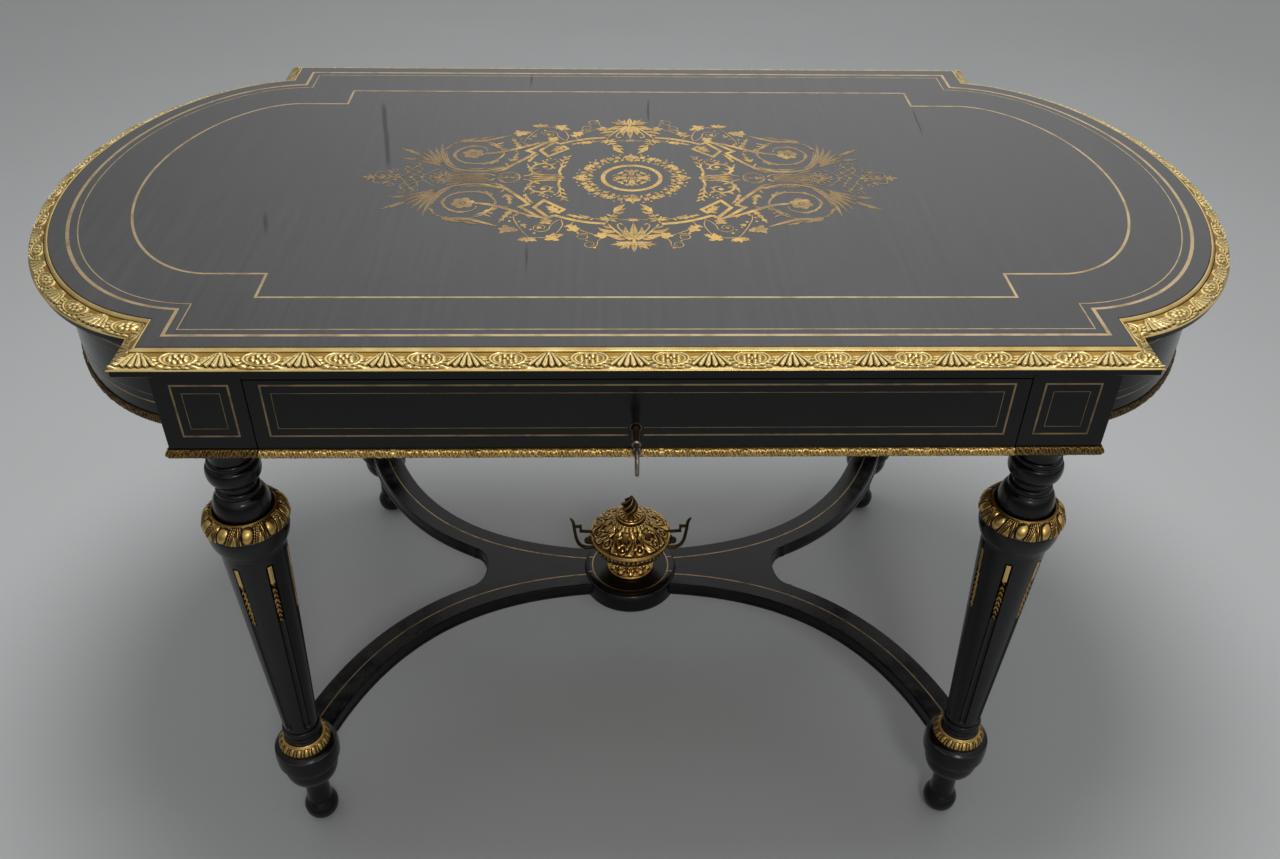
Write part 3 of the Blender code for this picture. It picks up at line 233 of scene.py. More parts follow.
def castGilt(name, slot, bright, dull, hollow, shine, cleanAndUnshaded):  # the last argument says how little dirt and painted shade is left in the hollows
    gilt = Finish(name, slot)
    cavity = gilt.painted("cavity")
    cloud = gilt.noise(38.0, detail=4.0)
    grit = gilt.noise(1500.0, detail=2.0)
    # Crests take the bright colour and hollows the dull and hollow colours: partly rubbed gilding and dirt,
    # partly a painted highlight on the crests and painted shade in the recesses.
    dullness = gilt.between(cloud * 0.5 + cavity * 1.8, 0.25 + cleanAndUnshaded * 0.2, 0.75 + cleanAndUnshaded * 0.3)
    rubbedAndLit = gilt.blend(dullness, bright, dull)
    dirtAndShade = gilt.between(cavity + cloud * 0.3 - 0.15, 0.18 + cleanAndUnshaded * 0.18, 0.58 + cleanAndUnshaded * 0.45)
    gilt.wear(Base_Color=gilt.blend(dirtAndShade, rubbedAndLit, hollow),
              Roughness=dirtAndShade * 0.3 + grit * 0.14 + (shine - 0.07), Metallic=1.0 - dirtAndShade * 0.3,
              Normal=gilt.bump(grit, 0.00012, 0.35))
    return gilt


def drawerOak():
    look = {"light": rgb(164, 126, 84), "dark": rgb(128, 92, 58), "pore": rgb(82, 56, 34), "rough": 0.5}
    oak = Finish("drawer_oak", "drawer_oak")
    warp = oak.noise(7.0, (1, 0.25, 1))
    rings = oak.noise(55.0, (1, 0.05, 1.4), 4.0, 0.6)
    pores = oak.between(oak.noise(520.0, (1, 0.04, 1), 2.0), 0.56, 0.70)
    figure = oak.between(rings * 0.7 + warp * 0.3, 0.34, 0.66)
    timber = oak.blend(figure, look["dark"], look["light"])
    oak.wear(Base_Color=oak.blend(pores * 0.7, timber, look["pore"]), Roughness=rings * 0.2 + look["rough"],
             Normal=oak.bump(pores * -1.0 + rings * 0.4, 0.0002, 0.4))
    return oak


def lockSteel():
    look = {"dark": rgb(112, 100, 92), "light": rgb(150, 140, 130), "rust": rgb(70, 48, 36), "rough": 0.24}
    steel = Finish("lock_steel", "lock_steel")
    cloud = steel.noise(120.0, detail=4.0)
    spots = steel.between(steel.noise(420.0, detail=2.0), 0.56, 0.68)
    bare = steel.blend(cloud, look["dark"], look["light"])
    steel.wear(Base_Color=steel.blend(spots * 0.8, bare, look["rust"]), Metallic=0.95,
               Roughness=cloud * 0.25 + spots * 0.25 + look["rough"], Normal=steel.bump(cloud, 0.0001, 0.4))
    return steel


topFinish = ebonisedTop()
ebony = ebonisedWood("ebonised_wood", 0.0)
dustyEbony = ebonisedWood("dusty_ebonised_wood", 0.38)
lineBrass = inlaidBrass("line_brass", rgb(218, 193, 152), rgb(172, 150, 116))
# A darker copy of the line brass for the frieze and stretcher lines: partly duller brass, partly painted
# shade.
panelBrass = inlaidBrass("panel_brass", rgb(152, 130, 98), rgb(104, 90, 68))
flowerBrass = inlaidBrass("flower_brass", rgb(242, 202, 122), rgb(174, 148, 108), 0.5)
gilt = castGilt("cast_gilt", "gilt_brass",
                rgb(252, 230, 164), rgb(200, 159, 78), rgb(54, 37, 13), 0.28, 0.45)
# Darker copies of the cast gilt for the frieze strips, husks and leg rings below the top: partly duller
# gilding, partly painted shade.
darkGilt = castGilt("dark_gilt", "gilt_brass",
                    rgb(220, 188, 118), rgb(160, 126, 68), rgb(42, 30, 13), 0.32, 0.4)
ringGilt = castGilt("ring_gilt", "gilt_brass",
                    rgb(212, 178, 106), rgb(138, 106, 54), rgb(28, 20, 9), 0.28, 0.1)
bronze = castGilt("urn_bronze", "antique_bronze",
                  rgb(226, 184, 108), rgb(142, 107, 54), rgb(28, 19, 8), 0.25, 0.1)
darkBrass = inlaidBrass("escutcheon_brass", rgb(100, 88, 66), rgb(64, 56, 42))
oak = drawerOak()
steel = lockSteel()
print("finishes made")


# Mesh helpers

def smooth(x):
    x = np.clip(x, 0.0, 1.0)
    return x * x * (3 - 2 * x)


def ridge(x, width):
    return np.exp(-(x / width) ** 2)


def wrap(x, period):
    return x - period * np.round(x / period)


def fullTurn(count):  # the angles of even steps round a circle
    return np.arange(count) * 2 * math.pi / count


def spread(values, count):  # one value, or a few, eased over many points
    values = np.atleast_1d(values)
    return np.interp(np.linspace(0, 1, count), np.linspace(0, 1, len(values)), values)


def lengthsAlong(path):
    return np.r_[0, np.cumsum(np.linalg.norm(np.diff(path, axis=0), axis=1))]


def atHeight(points, z):
    return np.column_stack([points, np.full(len(points), z)])


def gridFaces(rows, cols, wrapRows=False, wrapCols=False):
    r = np.arange(rows if wrapRows else rows - 1)
    c = np.arange(cols if wrapCols else cols - 1)
    a, b = np.meshgrid(r, c, indexing="ij")
    nextA = (a + 1) % rows
    nextB = (b + 1) % cols
    quads = np.stack([a * cols + b, a * cols + nextB, nextA * cols + nextB, nextA * cols + b], -1)
    return quads.reshape(-1, 4).tolist()


def addPiece(name, verts, faces, finish, replaced=(), body="table", sharp=38.0, cavity=None, wornAndLit=None):
    spots = np.asarray(verts, float).reshape(-1, 3) * mm
    spots[:, 1] += midY
    mesh = bpy.data.meshes.new(name)
    mesh.from_pydata(spots.tolist(), [], faces)
    for label, values in (("cavity", cavity), ("wornAndLit", wornAndLit)):
        if values is not None:
            mesh.attributes.new(label, "FLOAT", "POINT").data.foreach_set("value", np.ravel(values))
    shell = bmesh.new()
    shell.from_mesh(mesh)
    bmesh.ops.recalc_face_normals(shell, faces=shell.faces)
    shell.to_mesh(mesh)
    shell.free()
    mesh.shade_smooth()
    mesh.set_sharp_from_angle(angle=math.radians(sharp))
    piece = bpy.data.objects.new(name, mesh)
    bpy.context.scene.collection.objects.link(piece)
    mesh.materials.append(finish.material)
    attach(piece, body)
    if replaced:
        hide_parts(*replaced)
    return piece


def addEach(places, name, node, shell, finish, **more):  # one mirrored copy for each named place
    verts, faces = shell
    for place, (signX, signY) in places.items():
        addPiece(name + place, verts * (signX, signY, 1), faces, finish, [node + place], **more)


def merged(shells):  # several vertex and face lists as one
    verts = []
    faces = []
    for shellVerts, shellFaces in shells:
        start = sum(len(v) for v in verts)
        verts.append(np.asarray(shellVerts, float).reshape(-1, 3))
        faces += [tuple(i + start for i in face) for face in shellFaces]
    return np.concatenate(verts), faces


def spline(points, steps):
    knots = np.asarray(points, float)
    padded = np.vstack([2 * knots[0] - knots[1], knots, 2 * knots[-1] - knots[-2]])
    t = (np.arange(steps) / steps)[:, None]
    runs = []
    for i in range(1, len(padded) - 2):
        a, b, c, d = padded[i - 1:i + 3]
        runs.append(0.5 * (2 * b + (c - a) * t + (2 * a - 5 * b + 4 * c - d) * t ** 2
                           + (3 * b - a - 3 * c + d) * t ** 3))
    return np.vstack([*runs, knots[-1:]])


def outwards(section):  # unit normals of an open section walked with its outside on the left
    run = np.gradient(section, axis=0)
    run /= np.maximum(np.linalg.norm(run, axis=1), 1e-9)[:, None]
    return np.stack([-run[:, 1], run[:, 0]], -1)


def soften(field, reach):  # box blur both ways
    for axis in (0, 1):
        field = sum(np.roll(field, step, axis) for step in range(-reach, reach + 1)) / (2 * reach + 1)
    return field


# How far each point sits below its softened surroundings; the gilt and bronze finishes darken by it, as dirt
# and as painted shade in the recesses.
def hollows(field, reach, depth):
    return np.clip((soften(field, reach) - field) / depth + 0.12, 0.0, 1.0)


def turnedRows(profile, count):  # rings of a turned shape from its radii and heights
    angle = fullTurn(count)
    radius, height = np.asarray(profile, float).T
    x = radius[:, None] * np.cos(angle)
    y = radius[:, None] * np.sin(angle)
    return np.stack([x, y, np.repeat(height[:, None], count, 1)], -1)


def reliefRows(run, lift):  # rings of a turned run, each point raised along the run's normal
    turn = fullTurn(lift.shape[1])
    normal = outwards(run) * -1.0
    radius = np.maximum(run[:, :1] + lift * normal[:, :1], 0.05)
    return np.stack([radius * np.cos(turn), radius * np.sin(turn), run[:, 1:2] + lift * normal[:, 1:2]], -1)


def turnedShell(rows):  # stacked rings with both ends closed
    tall, count = rows.shape[:2]
    faces = gridFaces(tall, count, wrapCols=True)
    faces.append(tuple(range(count)))
    faces.append(tuple(range((tall - 1) * count, tall * count)))
    return rows.reshape(-1, 3), faces


def loopedShell(rows):  # rings that close on themselves both ways
    return rows.reshape(-1, 3), gridFaces(*rows.shape[:2], wrapRows=True, wrapCols=True)


def profileOf(*runs):  # each run is smooth, and runs meet in a crisp edge
    return np.vstack([spline(run, 5) if len(run) > 2 else np.asarray(run, float) for run in runs])


# The ebonised finish lightens the proud edges that this finds: partly real wear, partly a painted highlight.
def arrisWearAndHighlight(profile, count):  # how sharply each row of a profile walked downwards stands proud
    run = np.diff(profile, axis=0)
    heading = np.unwrap(np.arctan2(run[:, 1], run[:, 0]))
    bend = np.r_[0.0, -np.diff(heading), 0.0]
    return np.repeat(np.clip((bend - 0.22) / 0.5, 0.0, 1.0), count)


def moved(shell, spot):
    verts, faces = shell
    return verts + np.asarray(spot, float), faces


# The top's outline: a rectangle with an oval lobe at each end

tableTop = {"fieldX": 448.0, "fieldY": 347.7, "lobeX": 420.0, "lobeReach": 207.5, "lobeY": 303.0,
            "lobeSteps": 64, "edgeOut": 19.5, "edgeLow": 740.5, "rebate": 747.5, "soft": 0.6}


def lobePoint(angle, off):
    reach, deep = tableTop["lobeReach"], tableTop["lobeY"]
    nx = deep * np.cos(angle)
    ny = reach * np.sin(angle)
    size = np.hypot(nx, ny)
    return tableTop["lobeX"] + reach * np.cos(angle) + off * nx / size, deep * np.sin(angle) + off * ny / size


def lobeEnd(x, off):  # the angle where the lobe, moved out by off, meets an upright line
    low = np.zeros_like(np.asarray(x + off, float))
    high = low + math.pi / 2
    for _ in range(40):
        middle = (low + high) / 2
        outside = lobePoint(middle, off)[0] > x
        low = np.where(outside, middle, low)
        high = np.where(outside, high, middle)
    return (low + high) / 2


def topOutline(off):
    x = tableTop["fieldX"] + off
    y = tableTop["fieldY"] + off
    end = lobeEnd(x, off)
    angle = np.linspace(-end, end, tableTop["lobeSteps"] + 1)
    lobe = np.stack(lobePoint(angle, off), -1)
    step = abs(lobe[0, 1])
    right = np.vstack([[x, -y], [x, -step], lobe[1:-1], [x, step], [x, y]])
    return np.vstack([right, -right])


def makeTop():
    soft = tableTop["soft"]
    out, low, rebate = tableTop["edgeOut"], tableTop["edgeLow"], tableTop["rebate"]
    section = [(out - soft, low), (out, low + soft), (out, rebate - soft), (out - soft, rebate), (0, rebate),
               (0, topZ - soft), (-soft, topZ)]
    loops = [atHeight(topOutline(off), z) for off, z in section]
    verts, faces = turnedShell(np.array(loops))
    panel = addPiece("top_panel", verts, faces, topFinish, ["top_board"], sharp=30)
    panel.data.materials.append(ebony.material)
    for face in panel.data.polygons:
        face.material_index = int(face.center.z < (topZ - 2) * mm)


makeTop()
print("top made")


# Gilt edge moulding with cast relief

edgeMould = {"repeat": 72.2, "ovalAt": 62.1, "fanAt": 26.0, "along": 0.8, "slopeRows": 34, "bandOut": 4.2,
             "bandFall": 1.9, "slopeStart": 4.8, "slopeOut": 15.2, "slopeFall": 7.4, "slopeTop": 756.9,
             "belly": 0.7, "low": 747.8, "out": 21.5, "relief": 1.35, "ovalHalf": 15.8, "ovalTall": 6.9,
             "middle": 7.6, "petals": 8, "returnLong": 62.0, "returnShift": 18.0, "returnRelief": 0.4,
             "bandDirtAndShade": 0.21, "grooveDirtAndShade": 0.9, "groundDirtAndShade": 0.42, "footDirtAndShade": 0.2}


def mouldSection():
    m = edgeMould
    t = np.linspace(0, 1, m["slopeRows"])
    belly = m["belly"] * np.sin(math.pi * t)
    slope = np.column_stack([m["slopeStart"] + m["slopeOut"] * t + belly * 0.43,
                             m["slopeTop"] - m["slopeFall"] * t + belly * 0.9])
    foot = slope[-1, 1]
    bandZ = topZ - m["bandFall"]
    before = [(0.3, m["low"]), (0.3, topZ - 0.8), (0.7, topZ - 0.35), (2.4, topZ - 0.75), (3.7, bandZ + 0.35),
              (m["bandOut"], bandZ - 0.4), (4.5, m["slopeTop"] - 1.1)]
    after = [(20.3, foot - 0.5), (21.2, foot - 0.6), (m["out"], foot - 1.0), (m["out"], m["low"] + 0.4),
             (21.1, m["low"])]
    return np.vstack([before, slope, after]), len(before)


def edgeRelief(s, w):
    m = edgeMould
    u = wrap(s - m["ovalAt"], m["repeat"])
    v = wrap(s - m["fanAt"], m["repeat"])
    fall = w - m["middle"] + 0.8

    # Oval cartouche: a cluster of small petals inside two rings
    oval = np.hypot(u / m["ovalHalf"], fall / m["ovalTall"])
    turn = np.arctan2(fall / m["ovalTall"], u / m["ovalHalf"])
    field = 1.2 * ridge(oval - 1.0, 0.10) + 0.6 * ridge(oval - 0.80, 0.05)
    for k in range(m["petals"]):
        angle = math.pi * (2 * k + 1) / m["petals"]
        petalU = 0.47 * m["ovalHalf"] * math.cos(angle)
        petalFall = 0.44 * m["ovalTall"] * math.sin(angle)
        petal = np.hypot(u - petalU, fall - petalFall)
        field = np.maximum(field, 1.7 * ridge(petal, 2.0))
    field = np.maximum(field, 1.9 * ridge(np.hypot(u, fall), 1.7))

    # Leafy crescent that cradles the oval
    frill = 0.7 + 0.3 * np.cos(turn * 18 + 2.0 * oval)
    field += 1.9 * ridge(oval - 1.42, 0.26) * smooth((np.sin(turn) + 0.35) / 0.5) * frill

    # Acanthus between the ovals, parted in the middle, its lobes springing from the top and drooping
    tall = np.clip(w, 0.3, 16.0)
    half = 2.8 + 17.0 * np.clip((tall - 0.4) / 13.0, 0, 1) ** 0.85
    across = v / half
    lobe = np.abs(np.sin(3 * math.pi * across))
    edge = 15.8 - 1.6 * across ** 2 + 2.4 * (lobe - 1)
    inside = smooth((edge - tall) / 0.9) * smooth((1.02 - np.abs(across)) / 0.06)
    leaf = 0.1 + 2.0 * lobe ** 0.8 * (0.4 + 0.6 * tall / 14) + 0.6 * ridge(edge - tall - 1.8, 1.4) * lobe
    leaf -= 0.5 * ridge(lobe - 1.0, 0.06) * (tall > 4)
    field = field * (1 - inside) + inside * leaf
    field = np.maximum(field, 1.8 * ridge(np.hypot(v, tall - 1.9), 1.7))
    return field * m["relief"]


def mouldGrid(along, place, arcOf, relief=1.0):
    m = edgeMould
    section, first = mouldSection()
    count = m["slopeRows"]
    last = first + count
    normal = outwards(section)
    step = lengthsAlong(section[first:last])
    t = np.linspace(0, 1, max(int(along / m["along"]), 8))
    lift = np.zeros((len(t), len(section)))
    offset = np.repeat(section[None, :, 0], len(t), 0)
    s = arcOf(t[:, None], offset)
    lift[:, first:last] = edgeRelief(s[:, first:last], step[None, :])
    hem = np.minimum(np.arange(count) / 2.0, (count - 1 - np.arange(count)) / 2.0)
    lift[:, first:last] *= np.clip(hem, 0, 1) * relief
    x, y = place(t[:, None], offset + lift * normal[None, :, 0])
    z = section[None, :, 1] + lift * normal[None, :, 1]

    # Dirt and painted shade in the hollows, on the ground between the ornaments and in the groove behind the
    # slope
    cavity = hollows(lift / relief, 2, 0.82)
    ground = smooth((0.45 - lift[:, first:last] / relief) / 0.4) * smooth((14.8 - step) / 1.0)
    cavity[:, first:last] = np.maximum(cavity[:, first:last], m["groundDirtAndShade"] * ground)
    cavity[:, :first - 1] = m["bandDirtAndShade"]
    cavity[:, first - 1:first + 1] = m["grooveDirtAndShade"]
    cavity[:, last:] = m["footDirtAndShade"]
    return turnedShell(np.stack([x, y, z], -1)), cavity


def makeMouldings():
    m = edgeMould
    fx, fy = tableTop["fieldX"], tableTop["fieldY"]
    mid = m["out"] / 2
    length = 2 * (fx + m["out"])

    def mount(grid, places):
        shell, cavity = grid
        addEach(places, "edge_mount_", "moulding_", shell, gilt, sharp=70, cavity=cavity)

    def frontPlace(t, o):
        return (2 * t - 1) * (fx + o), -(fy + o) + 0 * t

    def frontArc(t, o):
        return (2 * t - 1) * (fx + o) + length / 2

    mount(mouldGrid(length, frontPlace, frontArc), {"front": (1, 1), "back": (-1, -1)})

    # Lobes, with the repeat eased so that a whole number of ovals fits
    ends = np.linspace(-1, 1, 400) * lobeEnd(fx + mid, mid)
    arc = lengthsAlong(np.stack(lobePoint(ends, mid), -1))
    count = round(arc[-1] / m["repeat"])
    ease = count * m["repeat"] / arc[-1]

    def lobePlace(t, o):
        return lobePoint((2 * t - 1) * lobeEnd(fx + o, o), o)

    def lobeArc(t, o):
        return np.interp((2 * t - 1) * ends[-1], ends, arc) * ease + 0 * o

    mount(mouldGrid(arc[-1], lobePlace, lobeArc), {"lobe_right": (1, 1), "lobe_left": (-1, -1)})

    def returnPlace(t, o):
        step = lobePoint(lobeEnd(fx + o, o), o)[1]
        return fx + o + 0 * t, step + (fy + o - step) * t

    def returnArc(t, o):
        return returnPlace(t, o)[1] - fy - m["out"] + m["fanAt"] + m["returnShift"]

    grid = mouldGrid(m["returnLong"], returnPlace, returnArc, m["returnRelief"])
    mount(grid, {"return_" + corner: signs for corner, signs in corners.items()})


makeMouldings()
print("edge mouldings made")


# Brass marquetry, drawn flat in millimetres and let into the top

class Marquetry:
    def __init__(self):
        self.strips = []
        self.fans = []

    def strip(self, left, right):
        self.strips.append((np.asarray(left, float), np.asarray(right, float)))

    def ribbon(self, points, widths, steps=7):
        self.along(spline(points, steps), widths)

    def along(self, line, widths):
        half = spread(widths, len(line))[:, None] / 2
        normal = outwards(line)
        self.strip(line + normal * half, line - normal * half)

    def band(self, points, width):  # straight runs with mitred corners
        knots = np.asarray(points, float)
        runs = np.diff(knots, axis=0)
        runs /= np.linalg.norm(runs, axis=1)[:, None]
        sidesOf = np.stack([-runs[:, 1], runs[:, 0]], -1)
        before = np.vstack([sidesOf[:1], sidesOf])
        after = np.vstack([sidesOf, sidesOf[-1:]])
        mitre = before + after
        mitre *= 2 / np.sum(mitre * mitre, axis=1)[:, None]
        self.strip(knots + mitre * width / 2, knots - mitre * width / 2)

    def leaf(self, base, tip, width, bow=0.0, steps=9):
        base, tip = np.asarray(base, float), np.asarray(tip, float)
        run = tip - base
        side = np.array([-run[1], run[0]])
        t = np.linspace(0, 1, steps)
        line = base + run * t[:, None] + side * (bow * 4 * t * (1 - t))[:, None]
        half = np.maximum(width / 2 * np.sin(math.pi * t ** 0.72) ** 0.85, 0.12)[:, None]
        normal = outwards(line)
        if width < 3.3:
            self.strip(line + normal * half, line - normal * half)
        else:  # a midrib is left between the two halves
            rib = np.minimum(half * 0.2, 0.22)
            self.strip(line + normal * half, line + normal * rib)
            self.strip(line - normal * rib, line - normal * half)

    def leaves(self, *rows, bow=0.0):  # rows: base x, y, tip x, y, width and, where it has one, its own bow
        for baseX, baseY, tipX, tipY, width, *own in rows:
            self.leaf((baseX, baseY), (tipX, tipY), width, *(own or [bow]))

    def star(self, x, y, reach, width):  # stud of four short leaves
        for stepX, stepY in ((reach, 0), (0, reach), (-reach, 0), (0, -reach)):
            self.leaf((x, y), (x + stepX, y + stepY), width, 0.0, 5)

    def blade(self, points, width, teeth, left=1.0, right=1.0):  # long leaf with lobes along both sides
        line = spline(points, 8)
        t = np.linspace(0, 1, len(line))
        half = (width * 0.27 * np.abs(np.sin(math.pi * (0.14 + 0.86 * t) ** 0.8)) ** 0.8 + 0.15)[:, None]
        normal = outwards(line)
        self.strip(line + normal * half, line - normal * half)
        heading = np.gradient(line, axis=0)
        count = max(2, round(teeth * 0.7))
        for i in range(count):
            share = (i + 0.2) / count
            at = int(share * (len(line) - 1))
            angle = math.atan2(heading[at, 1], heading[at, 0])
            for side, scale in ((1, left), (-1, right)):
                long = width * (1.15 - 0.4 * share) * scale
                aim = angle + side * math.radians(25)
                tip = line[at] + long * np.array([math.cos(aim), math.sin(aim)])
                self.leaf(line[at], tip, long * 0.42, side * 0.12, 7)

    def fan(self, outline):
        self.fans.append(np.asarray(outline, float))

    def dot(self, x, y, radius, count=10):
        turn = fullTurn(count)
        self.fan(np.column_stack([x + radius * np.cos(turn), y + radius * np.sin(turn)]))

    def dots(self, *rows):
        for row in rows:
            self.dot(*row)

    def ivy(self, x, y, heading, size):  # five-pointed ivy leaf on its stalk
        shape = [(0, 0), (-0.14, 0.26), (-0.04, 0.52), (0.16, 0.50), (0.32, 0.30), (0.46, 0.52),
                 (0.66, 0.50), (0.70, 0.24), (0.94, 0.14), (1.14, 0.0)]
        outline = shape + [(a, -b) for a, b in reversed(shape[1:-1])]
        turn = math.radians(heading)
        spin = np.array([[math.cos(turn), math.sin(turn)], [-math.sin(turn), math.cos(turn)]])
        self.fan(np.asarray(outline) * size @ spin + (x, y))

    def ivies(self, *rows):
        for row in rows:
            self.ivy(*row)

    def curl(self, x, y, start, turns, outer, inner, width):  # spiral tendril running inwards
        t = np.linspace(0, 1, int(abs(turns) * 26) + 6)
        angle = math.radians(start) + turns * 2 * math.pi * t
        radius = outer + (inner - outer) * t
        self.along(np.column_stack([x + radius * np.cos(angle), y + radius * np.sin(angle)]),
                   [width, width * 0.6])

    def ring(self, x, y, inner, outer, count=72, tall=1.0):
        turn = np.linspace(0, 2 * math.pi, count + 1)
        circle = np.column_stack([np.cos(turn), np.sin(turn) * tall])
        self.strip(circle * outer + (x, y), circle * inner + (x, y))

    def take(self, other, signX, signY):
        flip = np.array([signX, signY], float)
        self.strips += [(a * flip, b * flip) for a, b in other.strips]
        self.fans += [a * flip for a in other.fans]

    def shells(self, place, low, high):  # each strip and fan lies a hair above the last, so none flickers
        made = []
        for i, (a, b) in enumerate(self.strips):
            top = high + inlay["lap"] * (i % inlay["stripLaps"])
            edges = [place(a, top), place(b, top), place(b, low), place(a, low)]
            closed = np.allclose(a[0], a[-1]) and np.allclose(b[0], b[-1])
            if closed:
                edges = [edge[:-1] for edge in edges]
            n = len(edges[0])
            faces = gridFaces(4, n, wrapRows=True, wrapCols=closed)
            if not closed:
                faces += [(0, n, 2 * n, 3 * n), (n - 1, 2 * n - 1, 3 * n - 1, 4 * n - 1)]
            made.append((np.concatenate(edges), faces))
        for i, outline in enumerate(self.fans):
            top = high + inlay["lap"] * (i % inlay["fanLaps"] + 0.5)
            made.append(turnedShell(np.array([place(outline, top), place(outline, low)])))
        return made


inlay = {"proud": 0.12, "sunk": 0.3, "lap": 0.005, "stripLaps": 31, "fanLaps": 29, "sharp": 20,
         "centreX": -3.0, "centreY": 0.5, "lines": [(18.5, 3.5, 1.0), (28.5, 1.2, 1.0), (85.0, 2.7, 1.036)]}


def addInlay(name, shells, finish, body="table"):
    addPiece(name, *merged(shells), finish, body=body, sharp=inlay["sharp"])


def makeTopLines():
    start = tableTop["lobeX"]
    shells = []
    for inside, width, reach in inlay["lines"]:
        loops = []
        for off in (width / 2, -width / 2):
            loop = topOutline(-inside + off)
            beyond = np.abs(loop[:, 0]) > start
            loop[beyond, 0] = np.sign(loop[beyond, 0]) * (start + (np.abs(loop[beyond, 0]) - start) * reach)
            loops.append(np.vstack([loop, loop[:1]]))
        lines = Marquetry()
        lines.strip(*loops)
        shells += lines.shells(atHeight, topZ - inlay["sunk"], topZ + inlay["proud"])
    addInlay("top_lines", shells, lineBrass)


def medallion(work):
    work.ring(0, 0, 30.3, 35.2, 96)
    work.ring(0, 0, 3.2, 4.6, 24)
    work.dot(0, 0, 1.9)

    def spot(a, b):
        return (a * c - b * s, a * s + b * c)

    for c, s in ((1, 0), (0, 1), (-1, 0), (0, -1)):
        work.leaf(spot(5.2, 0), spot(16.5, 0), 7.2)
        for lean in (-1, 1):
            work.leaf(spot(12.5, lean * 2.6), spot(18.5, lean * 6.0), 3.2, lean * -0.2)
            work.ribbon([spot(15.5, lean * 5.4), spot(19.5, lean * 7.6), spot(20.6, lean * 5.2),
                         spot(18.8, lean * 4.4)], [1.3, 1.0])
        work.leaf(spot(15.5, 0), spot(22.0, 0), 4.2)
        work.ribbon([spot(4.4, 4.4), spot(9.6, 9.6)], 1.3)
        work.leaf(spot(6.6, 6.6), spot(11.6, 5.6), 2.6)
        work.leaf(spot(6.6, 6.6), spot(5.6, 11.6), 2.6)
        work.dot(*spot(12.2, 12.2), 2.3)
        work.dot(*spot(15.2, 10.6), 1.5)
        work.dot(*spot(10.6, 15.2), 1.5)

    # Ivy wreath
    sprays = 24
    for i in range(sprays):
        turn = 2 * math.pi * (i + 0.5) / sprays
        sway = 1 if i % 2 else -1
        out = np.array([math.cos(turn), math.sin(turn)])
        side = np.array([-out[1], out[0]]) * sway
        base = 50 * out - 4.0 * side
        work.along(np.array([base, base + 4 * out + 3 * side, base + 9 * out + 4 * side]), [1.2, 0.8])
        heading = math.degrees(turn) + sway * 35
        work.ivy(*(53 * out + 1.5 * side), heading, 8.6)
        work.leaf(51 * out, 43.5 * out + 3.5 * side, 3.6, 0.15)
        work.leaf(50 * out - 2 * side, 45.5 * out - 4.5 * side, 3.0, -0.15)
        work.leaf(52 * out - 5.5 * side, 60.5 * out - 6.5 * side, 3.2, 0.15)
        work.dot(*(63.0 * out - 3.8 * side), 1.4)
    for sign in (-1, 1):
        for a, b in ((61, 3.6), (61, -3.6), (57.4, 0), (65, 0)):
            work.dot(sign * a, b, 2.5)
        work.leaf((0, sign * 42), (0, sign * 55), 4.4)
        work.leaf((0, sign * 55), (0, sign * 67), 3.4)


